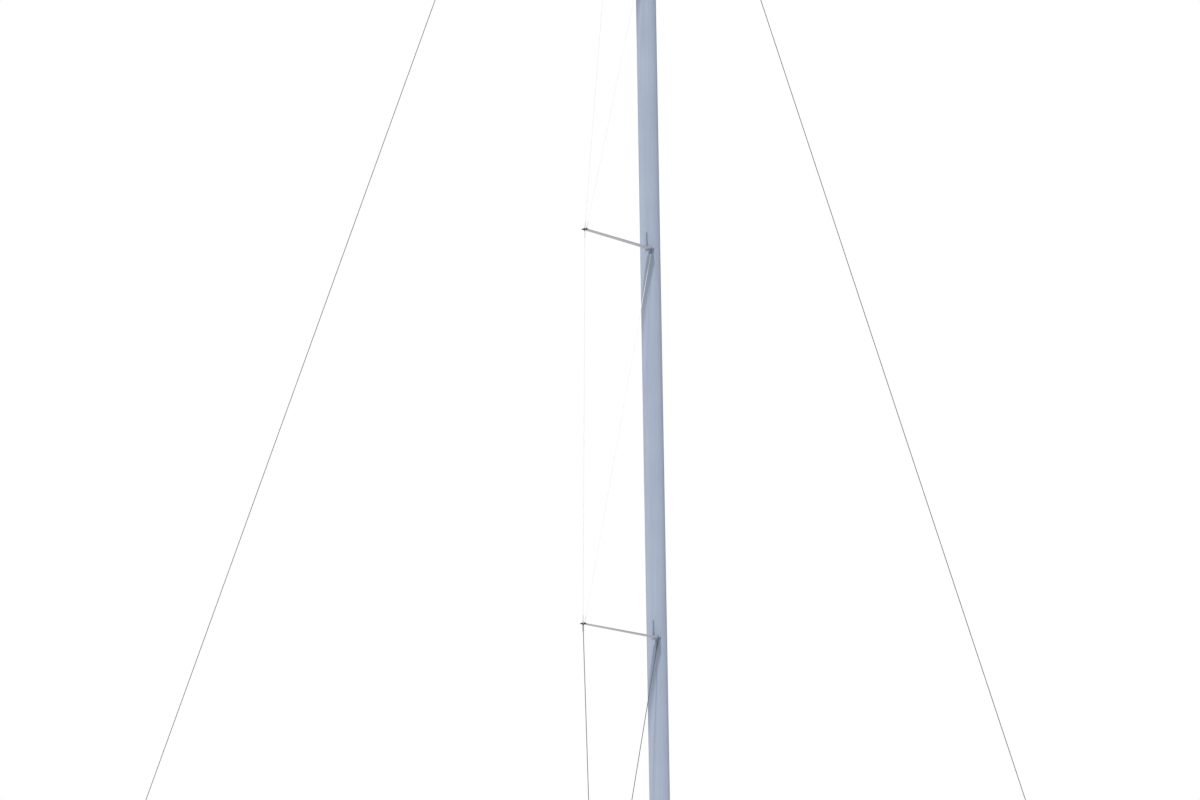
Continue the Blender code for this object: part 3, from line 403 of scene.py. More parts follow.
keep("mast_step", anodised_casting, 0.003)

BOLT_ACROSS = 0.019
BOLT_HEAD = 0.0075
BOLT_CHAMFER = 0.0012
WASHER_RADIUS = 0.0145
WASHER_THICK = 0.0020
WASHER_CHAMFER = 0.0006


def add_bolt(solid, point, out, across=BOLT_ACROSS, head=BOLT_HEAD):
    """A hexagon bolt head with a chamfered top, on a washer."""
    spot = frame_at(point, out, MAST_FORE)
    washer = across / BOLT_ACROSS * WASHER_RADIUS
    edge = ((-0.001, washer), (0.0015, washer), (WASHER_THICK, washer - WASHER_CHAMFER))
    turn_profile(solid, edge, spot, 20)
    corner = across / math.sqrt(3)
    flats = ((0.0010, corner), (head, corner), (head + BOLT_CHAMFER, corner * 0.84))
    turn_profile(solid, flats, spot, 6)


STEP_BOLTS_FORE = 0.128
STEP_BOLTS_SIDE = 0.068
STEP_BOLT_ACROSS = 0.0152
STEP_THICKNESS = 0.0337
HEEL_BOLTS_UP = 0.085
HEEL_BOLTS_FORE = 0.045
HEEL_BOLT_ACROSS = 0.0133
HEEL_BOLT_HEAD = 0.0045
step_bolts = bmesh.new()
for side in (-1, 1):
    for fore in (-1, 1):
        seat = MAST_FORE * (fore * STEP_BOLTS_FORE) + PORT * (side * STEP_BOLTS_SIDE)
        add_bolt(step_bolts, seat + MAST_UP * STEP_THICKNESS, MAST_UP, STEP_BOLT_ACROSS)
        pinned = on_wall(HEEL_BOLTS_UP, fore * HEEL_BOLTS_FORE, side)
        add_bolt(step_bolts, pinned, PORT * side, HEEL_BOLT_ACROSS, HEEL_BOLT_HEAD)
add_piece("step_bolts", step_bolts, [stainless])


# Spreader roots: an anodised casting on each side of the wall, tied together by a bar through
# the tube and riveted on, with a web above the spreader and the diagonal's tang below it.
ROOT_RIVETS = ((0.016, 0.028), (0.028, 0.020))
ROOT_RIVET = (0.0028, 0.0012)
ROOT_WALL = 0.003
root_rivets = bmesh.new()
for number in (1, 2, 3):
    node = f"spreader_root_{number}"
    keep(node, anodised_casting, 0.0006)
    root_low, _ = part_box(node)
    for _, sign in SIDES:
        for up, fore in ROOT_RIVETS:
            point = on_wall(root_low.z + up, fore, sign, ROOT_WALL)
            add_rivet(root_rivets, point, PORT * sign, *ROOT_RIVET)
add_piece("spreader_root_rivets", root_rivets, [stainless])

# Spreaders: tapered aerofoil extrusions, sprayed satin grey, pinned on their roots. Each tip
# has a black acetal end that grips the shroud.
SPREADER_CLOUDS = 9.0
spreader_paint, tree, shader = new_finish(
    "satin grey spreader paint", 0.0, 0.45, Coat_Weight=0.1, Coat_Roughness=0.3,
)
where = add_node(tree, "ShaderNodeTexCoord").outputs["Object"]
clouds = add_node(tree, "ShaderNodeTexNoise", Vector=where, Scale=SPREADER_CLOUDS, Detail=4.0)
shade = add_node(
    tree, "ShaderNodeMix", {"data_type": "RGBA"},
    i0=clouds.outputs[0], i6=linear("#ADA8AE"), i7=linear("#B9B5BA"),
)
tree.links.new(shade.outputs[2], shader.inputs["Base Color"])
peel = add_node(tree, "ShaderNodeTexNoise", Vector=where, Scale=1 / ORANGE_PEEL, Detail=1.0)
bump = add_node(tree, "ShaderNodeBump", Strength=0.12, Distance=ORANGE_PEEL / 20, Height=peel.outputs[0])
tree.links.new(bump.outputs[0], shader.inputs["Normal"])

# Acetal, moulded: near black, with a fine satin grain of 0.5 mm and a little chalking from sun.
MOULD_GRAIN = 0.0005
CHALK_PATCHES = 60.0
acetal, tree, shader = new_finish("moulded black acetal", 0.0, 0.5)
where = add_node(tree, "ShaderNodeTexCoord").outputs["Object"]
chalk = add_node(tree, "ShaderNodeTexNoise", Vector=where, Scale=CHALK_PATCHES, Detail=4.0)
shade = add_node(
    tree, "ShaderNodeMix", {"data_type": "RGBA"},
    i0=chalk.outputs[0], i6=linear("#0B0B0C"), i7=linear("#1D1D1F"),
)
tree.links.new(shade.outputs[2], shader.inputs["Base Color"])
grain = add_node(tree, "ShaderNodeTexNoise", Vector=where, Scale=1 / MOULD_GRAIN)
bump = add_node(tree, "ShaderNodeBump", Strength=0.2, Distance=MOULD_GRAIN / 10, Height=grain.outputs[0])
tree.links.new(bump.outputs[0], shader.inputs["Normal"])

for number in (1, 2, 3):
    for side_name, sign in SIDES:
        keep(f"spreader_{number}_{side_name}", spreader_paint)
        keep(f"spreader_cap_{number}_{side_name}", acetal, 0.0012)

# Wires: 1x19 stainless rope, nineteen wires laid in one long twist, twelve of them outside. Each
# end is swaged into a polished stud. The upper wires are newer and brighter.
LAY = 0.090
STRANDS = 12
GROOVE_SHADE_WIDTH = 0.22
STRAND_RISE = 0.0008
TERMINAL_SIDES = 20


def rope_finish(name, dark, light, metallic):
    """Laid wire: its strands wind round it once in each lay, with painted shade in the grooves between
    them.
    """
    finish, tree, shader = new_finish(name, metallic, 0.34)
    along = add_node(tree, "ShaderNodeSeparateXYZ", Vector=add_node(tree, "ShaderNodeUVMap").outputs[0])
    round_it = add_node(tree, "ShaderNodeMath", {"operation": "MULTIPLY"}, i0=along.outputs[0], i1=STRANDS)
    wound = add_node(
        tree, "ShaderNodeMath", {"operation": "MULTIPLY_ADD"},
        i0=along.outputs[1], i1=STRANDS / LAY, i2=round_it.outputs[0],
    )
    wave = add_node(tree, "ShaderNodeMath", {"operation": "PINGPONG"}, i0=wound.outputs[0], i1=0.5)
    # Painted shade: the colour darkens in a narrow band along each groove between strands, where shade
    # would fall.
    groove_shade_mask = add_node(tree, "ShaderNodeMapRange", Value=wave.outputs[0], From_Max=GROOVE_SHADE_WIDTH)
    shade = add_node(
        tree, "ShaderNodeMix", {"data_type": "RGBA"},
        i0=groove_shade_mask.outputs[0], i6=linear(dark), i7=linear(light),
    )
    tree.links.new(shade.outputs[2], shader.inputs["Base Color"])
    bump = add_node(tree, "ShaderNodeBump", Strength=0.5, Distance=STRAND_RISE, Height=wave.outputs[0])
    tree.links.new(bump.outputs[0], shader.inputs["Normal"])
    return finish


worn_rope = rope_finish("laid 316 wire rope, weathered", "#434C4E", "#767F80", 0.35)
cap_rope = rope_finish("laid 316 wire rope, half bright", "#60686D", "#9BA2A6", 0.35)
bright_rope = rope_finish("laid 316 wire rope, bright", "#E4E6E7", "#FCFDFD", 0.0)

# The swaging die leaves faint marks, 3 mm apart and 60 mm long.
DIE_MARK = 0.003
DIE_MARK_LENGTH = 0.060
DIE_MARK_DEPTH = 0.0002


def stud_finish(name, dark, light, metallic):
    """A swaged end, with its die's marks along it."""
    finish, tree, shader = new_finish(name, metallic, 0.3)
    where = add_node(tree, "ShaderNodeTexCoord").outputs["Object"]
    rates = (1 / DIE_MARK, 1 / DIE_MARK, 1 / DIE_MARK_LENGTH)
    drawn = add_node(tree, "ShaderNodeMapping", Vector=where, Scale=rates)
    marks = add_node(tree, "ShaderNodeTexNoise", Vector=drawn.outputs[0], Scale=1.0, Detail=2.0)
    shade = add_node(
        tree, "ShaderNodeMix", {"data_type": "RGBA"},
        i0=marks.outputs[0], i6=linear(dark), i7=linear(light),
    )
    tree.links.new(shade.outputs[2], shader.inputs["Base Color"])
    bump = add_node(tree, "ShaderNodeBump", Strength=0.1, Distance=DIE_MARK_DEPTH, Height=marks.outputs[0])
    tree.links.new(bump.outputs[0], shader.inputs["Normal"])
    return finish


# A wire's swaged ends have weathered as the wire has: dull on the old ones, pale on the new.
worn_stud = stud_finish("swaged 316, weathered", "#5E6668", "#7F8789", 0.5)
cap_stud = stud_finish("swaged 316, half bright", "#9CA1A4", "#C2C6C8", 0.3)
bright_stud = stud_finish("swaged 316, bright", "#DADCDD", "#F6F7F7", 0.1)

# The rope leaves its swage with a small step. The newer wires are slimmer than the frame's.
NEXT_RING = 0.003
ROPE_START = 0.0005
NEW_WIRE_SHARE = 0.8


def wire_stations(node):
    """The rings of a frame wire from its lower end up, as (centre, radius)."""
    points = [Vector(p) for p in {tuple(round(c, 5) for c in v.co) for v in nodes[node].data.vertices}]
    points.sort(key=lambda point: point.z)
    way = (points[-1] - points[0]).normalized()
    points.sort(key=lambda point: point.dot(way))
    rings = [[points[0]]]
    for point in points[1:]:
        if point.dot(way) - rings[-1][-1].dot(way) > NEXT_RING:
            rings.append([])
        rings[-1].append(point)
    stations = []
    for ring in rings:
        centre = sum(ring, Vector()) / len(ring)
        stations.append((centre, sum((point - centre).length for point in ring) / len(ring)))
    return stations


def stay_frame(pin, way):
    """Z up the stay, with the pin's axis along X."""
    return frame_at(pin, way, way.cross(FORE))


def lay_wire(node, rope, stud, slim=1.0):
    """A wire with its swaged ends, in place of the frame's plain bar. Gives its foot and its way up."""
    stations = wire_stations(node)
    points = [centre for centre, _ in stations]
    bottom, grip = stations[0]
    top = points[-1]
    swage = (points[2] - bottom).length
    grip *= slim
    radius = stations[2][1] * slim
    middle = points[3:-3]
    up = (points[2] - bottom).normalized()
    down = (points[-3] - top).normalized()
    ends = ((0.0, 0.86), (0.004, 1.0), (swage * 0.72, 1.0), (swage * 0.94, 0.70), (swage, 0.64))
    route = [(bottom + up * along, up, grip * share) for along, share in ends]
    route += [(bottom + up * (swage + ROPE_START), up, radius)]
    route += [(point, (top - bottom).normalized(), radius) for point in middle]
    route += [(top + down * (swage + ROPE_START), -down, radius)]
    route += [(top + down * along, -down, grip * share) for along, share in ends[::-1]]
    solid = bmesh.new()
    layer = solid.loops.layers.uv.new("lay")
    rings = []
    travelled = 0.0
    for index, (centre, way, size) in enumerate(route):
        if index:
            travelled += (centre - route[index - 1][0]).length
        spot = stay_frame(centre, way)
        ring = [solid.verts.new(point) for point in round_ring(spot, size, TERMINAL_SIDES)]
        rings.append((travelled, ring))
    for index in range(len(rings) - 1):
        low_at, low = rings[index]
        high_at, high = rings[index + 1]
        for i in range(TERMINAL_SIDES):
            j = (i + 1) % TERMINAL_SIDES
            face = solid.faces.new((low[i], low[j], high[j], high[i]))
            corners = ((i, low_at), (i + 1, low_at), (i + 1, high_at), (i, high_at))
            for loop, (turn, at) in zip(face.loops, corners):
                loop[layer].uv = (turn / TERMINAL_SIDES, at)
            face.material_index = 0 if len(ends) <= index < len(rings) - 1 - len(ends) else 1
    for ring in (rings[0][1][::-1], rings[-1][1]):
        solid.faces.new(ring).material_index = 1
    shape = add_piece(node + "_rope", solid, [rope, stud])
    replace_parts(shape, node)
    return bottom, up


screw_feet = []
for side_name, _ in SIDES:
    for name in ("cap_shroud", "lower_shroud"):
        node = f"{name}_lower_{side_name}" if name == "cap_shroud" else f"{name}_{side_name}"
        rope, stud = (cap_rope, cap_stud) if name == "cap_shroud" else (worn_rope, worn_stud)
        screw_feet.append((f"{name}_screw_{side_name}", *lay_wire(node, rope, stud)))
    for name in ("cap_shroud_middle", "cap_shroud_upper", "diagonal_2", "diagonal_3"):
        lay_wire(f"{name}_{side_name}", bright_rope, bright_stud, NEW_WIRE_SHARE)
for name in ("forestay", "backstay"):
    screw_feet.append((f"{name}_screw", *lay_wire(name, worn_rope, worn_stud)))

# Tip keepers: a strip of polished stainless across each cap's outer end, riveted on over the groove
# that the shroud's terminals are slipped into.
KEEPER_HALF = 0.0045
KEEPER_THICK = 0.0022
KEEPER_PAST = 0.0005
KEEPER_EDGE = 0.0006
KEEPER_RIVET = (0.0028, 0.0011)
KEEPER_RIVET_IN = 0.0045
SPAR_END = 0.020
CAP_FACE = 0.001
keepers = bmesh.new()
for number in (1, 2, 3):
    for side_name, _ in SIDES:
        spar = [corner.co for corner in nodes[f"spreader_{number}_{side_name}"].data.vertices]
        cap = [corner.co for corner in nodes[f"spreader_cap_{number}_{side_name}"].data.vertices]
        reach = max(abs(point.y) for point in spar)
        near = min(abs(point.y) for point in spar)
        tip = [point for point in spar if abs(point.y) > reach - SPAR_END]
        root = [point for point in spar if abs(point.y) < near + SPAR_END]
        out = (sum(tip, Vector()) / len(tip) - sum(root, Vector()) / len(root)).normalized()
        furthest = max(point.dot(out) for point in cap)
        face = [point for point in cap if point.dot(out) > furthest - CAP_FACE]
        spot = frame_at(sum(face, Vector()) / len(face), out, MAST_UP)
        across_cap = spot.to_3x3().col[0]
        half = max(abs((point - spot.translation).dot(across_cap)) for point in face) + KEEPER_PAST
        rings = []
        for inset, off in ((0.0, -0.0005), (0.0, KEEPER_THICK - KEEPER_EDGE), (KEEPER_EDGE, KEEPER_THICK)):
            rings.append([
                spot @ Vector((x * (half - inset), y * (KEEPER_HALF - inset), off))
                for x, y in ((1, 1), (-1, 1), (-1, -1), (1, -1))
            ])
        join_rings(keepers, rings)
        for end in (-1, 1):
            place = spot @ Vector((end * (half - KEEPER_RIVET_IN), 0.0, KEEPER_THICK))
            add_rivet(keepers, place, out, *KEEPER_RIVET)
add_piece("spreader_tip_keepers", keepers, [stainless])

# Rigging screws: an open stainless body with a left and a right thread, which draws the stay's
# stud and the fork together. Cotter pins through the studs keep it from turning.
SCREW_LENGTH = 0.40
LUG_CLEARANCE = 0.0003
LUG_HALF = 0.006 + LUG_CLEARANCE
CHEEK = 0.008
CHEEK_RADIUS = 0.018
FORK_TOP = 0.058
STUD_RADIUS = 0.0072
THREAD_PITCH = 0.003
THREAD_DEPTH = 0.0009
BODY_LOW = 0.098
BODY_HIGH = 0.302
BODY_END = 0.026
BODY_RADIUS = 0.0155
BODY_SIDES_IN = 0.0045
SIDE_BAR = (0.0040, 0.0070)
SIDE_BAR_END = 0.010
LOWER_THREAD = (0.066, 0.160)
UPPER_THREAD = (0.240, SCREW_LENGTH - 0.012)
FORK_CROWN = ((0.034, 0.0140), (0.036, 0.0160), (0.056, 0.0165), (0.064, 0.0120), (0.068, 0.0090))
STUD_COLLAR = ((SCREW_LENGTH - 0.014, 0.0072), (SCREW_LENGTH - 0.010, 0.0095), (SCREW_LENGTH, 0.0095))
COTTERS_UP = (0.150, 0.250)
COTTER = ((-0.0125, 0.0014), (0.0125, 0.0014))


def add_thread(solid, spot, low, high):
    """A stud with its thread, drawn at twice its real pitch so that it shows."""
    steps = int((high - low) / THREAD_PITCH * 2)
    profile = []
    for step in range(steps + 1):
        radius = STUD_RADIUS - (THREAD_DEPTH if step % 2 else 0.0)
        profile.append((low + (high - low) * step / steps, radius))
    turn_profile(solid, profile, spot, 14)


def add_cheek(solid, spot, low, high, radius=CHEEK_RADIUS, top=FORK_TOP, broken=0.0009):
    """One side of a fork: round about the pin, with broken edges."""
    rings = []
    for x, inset in ((low, broken), (low + broken, 0.0), (high - broken, 0.0), (high, broken)):
        size = radius - inset
        turns = [math.pi + math.pi * step / 12 for step in range(13)]
        outline = [(size * math.cos(t), size * math.sin(t)) for t in turns]
        outline += [(size, top - inset), (-size, top - inset)]
        rings.append([spot @ Vector((x, y, z)) for y, z in outline])
    join_rings(solid, rings)


PIN_RADIUS = 0.0077
SPLIT_RING = 0.0085
SPLIT_RING_WIRE = 0.0009
SPLIT_RING_PAST = 0.0040


def add_clevis_pin(solid, spot, half, radius=PIN_RADIUS):
    """A headed pin along X with a split ring through its end."""
    across = spot @ Matrix.Rotation(math.pi / 2, 4, "Y")
    profile = (
        (-half - 0.0045, radius * 1.25), (-half - 0.0040, radius * 1.5), (-half - 0.0005, radius * 1.5),
        (-half, radius * 1.45), (-half, radius), (half + 0.0070, radius), (half + 0.0085, radius * 0.8),
    )
    turn_profile(solid, profile, across, 18)
    rings = []
    for step in range(16):
        turn = math.tau * step / 16
        across_ring = (SPLIT_RING * math.cos(turn), SPLIT_RING * math.sin(turn))
        centre = Vector((half + SPLIT_RING_PAST, *across_ring))
        out = Vector((0.0, math.cos(turn), math.sin(turn)))
        ring = []
        for side in range(6):
            angle = math.tau * side / 6
            off = (out * math.cos(angle) + FORE * math.sin(angle)) * SPLIT_RING_WIRE
            ring.append(spot @ (centre + off))
        rings.append(ring)
    join_rings(solid, rings, looped=True)


for node, wire_end, way in screw_feet:
    spot = stay_frame(wire_end - way * SCREW_LENGTH, way)
    screw = bmesh.new()
    for side in (-1, 1):
        low, high = sorted((side * LUG_HALF, side * (LUG_HALF + CHEEK)))
        add_cheek(screw, spot, low, high)
    add_clevis_pin(screw, spot, LUG_HALF + CHEEK)
    turn_profile(screw, FORK_CROWN, spot, 20)
    add_thread(screw, spot, *LOWER_THREAD)
    add_thread(screw, spot, *UPPER_THREAD)
    turn_profile(screw, STUD_COLLAR, spot)
    for low, high in ((BODY_LOW, BODY_LOW + BODY_END), (BODY_HIGH - BODY_END, BODY_HIGH)):
        ring = (
            (low, BODY_RADIUS * 0.80), (low + 0.003, BODY_RADIUS * 0.97), (low + 0.008, BODY_RADIUS),
            (high - 0.008, BODY_RADIUS), (high - 0.003, BODY_RADIUS * 0.97), (high, BODY_RADIUS * 0.80),
        )
        turn_profile(screw, ring, spot, 24)
    for side in (-1, 1):
        rings = []
        for step in range(9):
            share = step / 8
            along = BODY_LOW + SIDE_BAR_END + (BODY_HIGH - BODY_LOW - 2 * SIDE_BAR_END) * share
            centre = side * (BODY_RADIUS - BODY_SIDES_IN)
            ring = []
            for corner in range(12):
                turn = math.tau * corner / 12
                x, y = SIDE_BAR[0] * math.cos(turn), SIDE_BAR[1] * math.sin(turn)
                ring.append(spot @ Vector((centre + x, y, along)))
            rings.append(ring)
        join_rings(screw, rings)
    for along in COTTERS_UP:
        hole = spot @ Matrix.Translation((0.0, 0.0, along)) @ Matrix.Rotation(math.pi / 2, 4, "X")
        turn_profile(screw, COTTER, hole, 8)
    shape = add_piece(node + "_body", screw, [stainless])
    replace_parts(shape, node)

# Chainplates: stainless deck plates with a welded lug for each wire, bolted through the deck
# into tie rods below. Each has its bolts' half spacing, fore and aft and across.
PLATE_THICK = 0.010
PLATE_BOLT = (0.013, 0.005)
PLATES = (
    ("chainplate_port", 0.078, 0.054), ("chainplate_starboard", 0.078, 0.054),
    ("forestay_chainplate", 0.070, 0.027), ("backstay_chainplate", 0.070, 0.027),
)
plate_bolts = bmesh.new()
for node, half_length, half_width in PLATES:
    keep(node, stainless, 0.0015)
    low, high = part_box(node)
    for fore in (-1, 1):
        for side in (-1, 1):
            x = (low.x + high.x) / 2 + fore * half_length
            y = (low.y + high.y) / 2 + side * half_width
            add_bolt(plate_bolts, Vector((x, y, PLATE_THICK)), Vector((0.0, 0.0, 1.0)), *PLATE_BOLT)
add_piece("chainplate_bolts", plate_bolts, [stainless])

# Hounds: a stainless band round the front of the mast, riveted on, with the forestay's lug and
# a boss for each upper shroud.
FITTING_RIVET = (0.0040, 0.0018)
HOUNDS_RIVETS_UP = (-0.045, -0.022, 0.022, 0.045)
HOUNDS_RIVETS_FORE = 0.050
BAND_THICK = 0.0063
keep("hounds_band", stainless, 0.0012)
low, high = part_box("hounds_band")
hounds = (low.z + high.z) / 2
band_rivets = bmesh.new()
for _, sign in SIDES:
    for up in HOUNDS_RIVETS_UP:
        for fore in (-HOUNDS_RIVETS_FORE, HOUNDS_RIVETS_FORE):
            point = on_wall(hounds + up, fore, sign, BAND_THICK)
            out = (PORT * sign * HALF_LENGTH + MAST_FORE * fore * 0.6).normalized()
            add_rivet(band_rivets, point, out, *FITTING_RIVET)
add_piece("hounds_rivets", band_rivets, [stainless])

# Masthead: a welded aluminium crane plugged into the top of the tube, with two acetal sheaves
# on stainless pins for the halyards, and the backstay's eye at its after end.
CRANE_HALF_WIDTH = 0.0205
SHEAVE_BOLT = (0.016, 0.005)
PLUG_RIVETS_FORE = 0.040
PLUG_RIVETS_DOWN = 0.035
PLUG_RIVET = (0.0045, 0.002)
keep("masthead_crane", anodised_casting, 0.0012)
keep("halyard_sheave_fore", acetal, 0.0006)
keep("halyard_sheave_aft", acetal, 0.0006)
sheave_bolts = bmesh.new()
for name in ("sheave_fore_spin", "sheave_aft_spin"):
    centre = Vector(joints[name]["pos_m"])
    for _, sign in SIDES:
        add_bolt(sheave_bolts, centre + PORT * sign * CRANE_HALF_WIDTH, PORT * sign, *SHEAVE_BOLT)
for fore in (-PLUG_RIVETS_FORE, PLUG_RIVETS_FORE):
    for _, sign in SIDES:
        point = on_wall(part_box("mast_tube")[1].z - PLUG_RIVETS_DOWN, fore, sign)
        add_rivet(sheave_bolts, point, PORT * sign, *PLUG_RIVET)
add_piece("masthead_bolts", sheave_bolts, [stainless])

# Wind sensors: three hollow moulded cups and a balanced vane turn on a spindle, at the end of a
# bent, anodised tube whose foot is screwed down between the crane's cheeks.
SENSOR = Vector(joints["cups_spin"]["pos_m"])
ARM_RADIUS = 0.008
ARM_BEND = 0.20
ARM_BEND_RUN = 0.05
FOOT_HALF = (0.045, 0.018)
FOOT_CORNER = 0.012
FOOT_THICK = 0.008
FOOT_CLEARANCE = 0.0003
FOOT_SCREWS = 0.034
FOOT_SCREW = (0.0035, 0.0016)
SPINDLE_HALF = 0.085
SPINDLE_RADIUS = 0.004
BOSS = 0.012
HUB_BORE = 0.0048


def rounded_outline(half_length, half_width, corner, steps=6):
    """A rectangle's edge with round corners, as (x, y) points."""
    points = []
    for turn, x, y in ((0, 1, 1), (1, -1, 1), (2, -1, -1), (3, 1, -1)):
        for step in range(steps + 1):
            angle = math.pi / 2 * (turn + step / steps)
            points.append((
                x * (half_length - corner) + corner * math.cos(angle),
                y * (half_width - corner) + corner * math.sin(angle),
            ))
    return points


def bent_route(corners, bend, steps=8):
    """Points along straight runs, with each corner rounded off."""
    route = [corners[0]]
    for before, corner, after in zip(corners, corners[1:], corners[2:]):
        start = corner + (before - corner).normalized() * bend
        end = corner + (after - corner).normalized() * bend
        for step in range(steps + 1):
            share = step / steps
            route.append(start.lerp(corner, share).lerp(corner.lerp(end, share), share))
    return route + [corners[-1]]


def add_tube(solid, route, radius, sides=20):
    """A round tube along a route that bends in the mast's middle plane."""
    rings = []
    for index, point in enumerate(route):
        way = route[min(index + 1, len(route) - 1)] - route[max(index - 1, 0)]
        rings.append(round_ring(frame_at(point, way, PORT), radius, sides))
    join_rings(solid, rings)


wind_arm = bmesh.new()
sensor_height = SENSOR.dot(MAST_UP)
crane_top = max(corner.co.dot(MAST_UP) for corner in nodes["masthead_crane"].data.vertices)
foot_height = crane_top + FOOT_CLEARANCE
foot_rings = []
for inset, up in ((0.0, 0.0), (0.0, FOOT_THICK - 0.001), (0.001, FOOT_THICK)):
    outline = rounded_outline(FOOT_HALF[0] - inset, FOOT_HALF[1] - inset, FOOT_CORNER - inset)
    foot_rings.append([on_mast(foot_height + up, x, y) for x, y in outline])
join_rings(wind_arm, foot_rings)
arm_corners = [
    on_mast(foot_height + 0.002, 0.0), on_mast(sensor_height, ARM_BEND), SENSOR - MAST_FORE * BOSS / 2,
]
add_tube(wind_arm, bent_route(arm_corners, ARM_BEND_RUN), ARM_RADIUS)
spindle = frame_at(SENSOR, MAST_UP, MAST_FORE)
turn_profile(wind_arm, (
    (-SPINDLE_HALF, SPINDLE_RADIUS - 0.001), (0.001 - SPINDLE_HALF, SPINDLE_RADIUS),
    (-BOSS, SPINDLE_RADIUS), (-BOSS, BOSS - 0.001), (0.001 - BOSS, BOSS),
    (BOSS - 0.001, BOSS), (BOSS, BOSS - 0.001),
    (BOSS, SPINDLE_RADIUS), (SPINDLE_HALF - 0.001, SPINDLE_RADIUS), (SPINDLE_HALF, SPINDLE_RADIUS - 0.001),
), spindle, 24)
for fore in (-FOOT_SCREWS, FOOT_SCREWS):
    add_rivet(wind_arm, on_mast(foot_height + FOOT_THICK, fore), MAST_UP, *FOOT_SCREW)
arm_piece = add_piece("wind_sensor_arm", wind_arm, [anodised_casting])
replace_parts(arm_piece, "wind_arm")

CUP_DROP = 0.035
CUP_REACH = 0.070
CUP_WALL = 0.0185
SPOKE = 0.0025
SPOKE_START = 0.008
HUB_WAIST = 0.009
HUB_RADIUS = 0.012
HUB_SHOULDER = 0.0045
CUPS_HUB = (-0.055, -0.015)
CUP_PROFILE = (
    (-0.0160, 0.0060), (-0.0148, 0.0103), (-0.0120, 0.0140), (-0.0062, 0.0173), (0.0, 0.0190),
    (0.0036, 0.0195), (0.0040, 0.0190), (0.0036, 0.0182), (0.0, 0.0176), (-0.0062, 0.0158),
    (-0.0110, 0.0128), (-0.0134, 0.0090), (-0.0144, 0.0040),
)


def add_hub(solid, low, high):
    """A turned hub with rounded shoulders, bored for the spindle."""
    profile = (
        (low, HUB_BORE), (low, HUB_WAIST), (low + HUB_SHOULDER, HUB_RADIUS),
        (high - HUB_SHOULDER, HUB_RADIUS), (high, HUB_WAIST), (high, HUB_BORE),
    )
    rings = [round_ring(spindle, radius, 28, along) for along, radius in profile]
    join_rings(solid, rings, looped=True)


cups = bmesh.new()
add_hub(cups, *CUPS_HUB)
for arm in range(3):
    turned = spindle @ Matrix.Rotation(math.tau * arm / 3, 4, "Z")
    spoke = turned @ Matrix.Translation((0.0, 0.0, -CUP_DROP))
    outwards = spoke @ Matrix.Rotation(math.pi / 2, 4, "Y")
    turn_profile(cups, ((SPOKE_START, SPOKE), (CUP_REACH - CUP_WALL, SPOKE * 0.8)), outwards, 14)
    cup = spoke @ Matrix.Translation((CUP_REACH, 0.0, 0.0)) @ Matrix.Rotation(math.pi / 2, 4, "X")
    turn_profile(cups, CUP_PROFILE, cup, 28)
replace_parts(add_piece("anemometer_cups", cups, [acetal], "cups"), "wind_cups")

VANE_UP = 0.034
VANE_HUB = (0.018, 0.050)
VANE_TAIL = ((-0.155, 0.022), (-0.085, 0.026), (-0.085, 0.046), (-0.155, 0.090))
VANE_MIDDLE = Vector((-0.120, 0.0, 0.045))
VANE_SECTION = ((-0.00125, 0.0006), (-0.0009, 0.0), (0.0009, 0.0), (0.00125, 0.0006))
VANE_TAIL_ROD = ((-0.150, SPOKE), (-0.009, SPOKE))
VANE_NOSE_ROD = (
    (0.009, SPOKE), (0.090, SPOKE), (0.092, SPOKE * 1.8), (0.104, SPOKE * 1.8), (0.110, SPOKE * 0.5),
)
vane = bmesh.new()
add_hub(vane, *VANE_HUB)
pointer = spindle @ Matrix.Translation((0.0, 0.0, VANE_UP)) @ Matrix.Rotation(math.pi / 2, 4, "Y")
turn_profile(vane, VANE_TAIL_ROD, pointer, 14)
turn_profile(vane, VANE_NOSE_ROD, pointer, 14)
rings = []
for off, inset in VANE_SECTION:
    ring = []
    for x, z in VANE_TAIL:
        corner = Vector((x, 0.0, z))
        moved = corner + (VANE_MIDDLE - corner).normalized() * inset + Vector((0.0, off, 0.0))
        ring.append(spindle @ moved)
    rings.append(ring)
join_rings(vane, rings)
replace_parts(add_piece("wind_vane_tail", vane, [acetal], "vane"), "wind_vane")

# Gooseneck and vang heel: stainless brackets riveted to the mast's after side, each with a
# toggle on an upright pin.
BRACKET_RIVETS_UP = (-0.064, -0.022, 0.022, 0.064)
BRACKET_RIVETS_FORE = -0.098
BRACKET_THICK = 0.0045
bracket_rivets = bmesh.new()
for node, joint in (("gooseneck_bracket", "boom_swing"), ("vang_bracket", "vang_swing")):
    keep(node, stainless, 0.0012)
    height = Vector(joints[joint]["pos_m"]).dot(MAST_UP)
    for _, sign in SIDES:
        out = (PORT * sign * 0.9 + MAST_FORE * BRACKET_RIVETS_FORE * 6).normalized()
        for up in BRACKET_RIVETS_UP:
            point = on_wall(height + up, BRACKET_RIVETS_FORE, sign, BRACKET_THICK)
            add_rivet(bracket_rivets, point, out, *FITTING_RIVET)
add_piece("bracket_rivets", bracket_rivets, [stainless])
keep("gooseneck_toggle", stainless, 0.001)
keep("vang_toggle", stainless, 0.001)

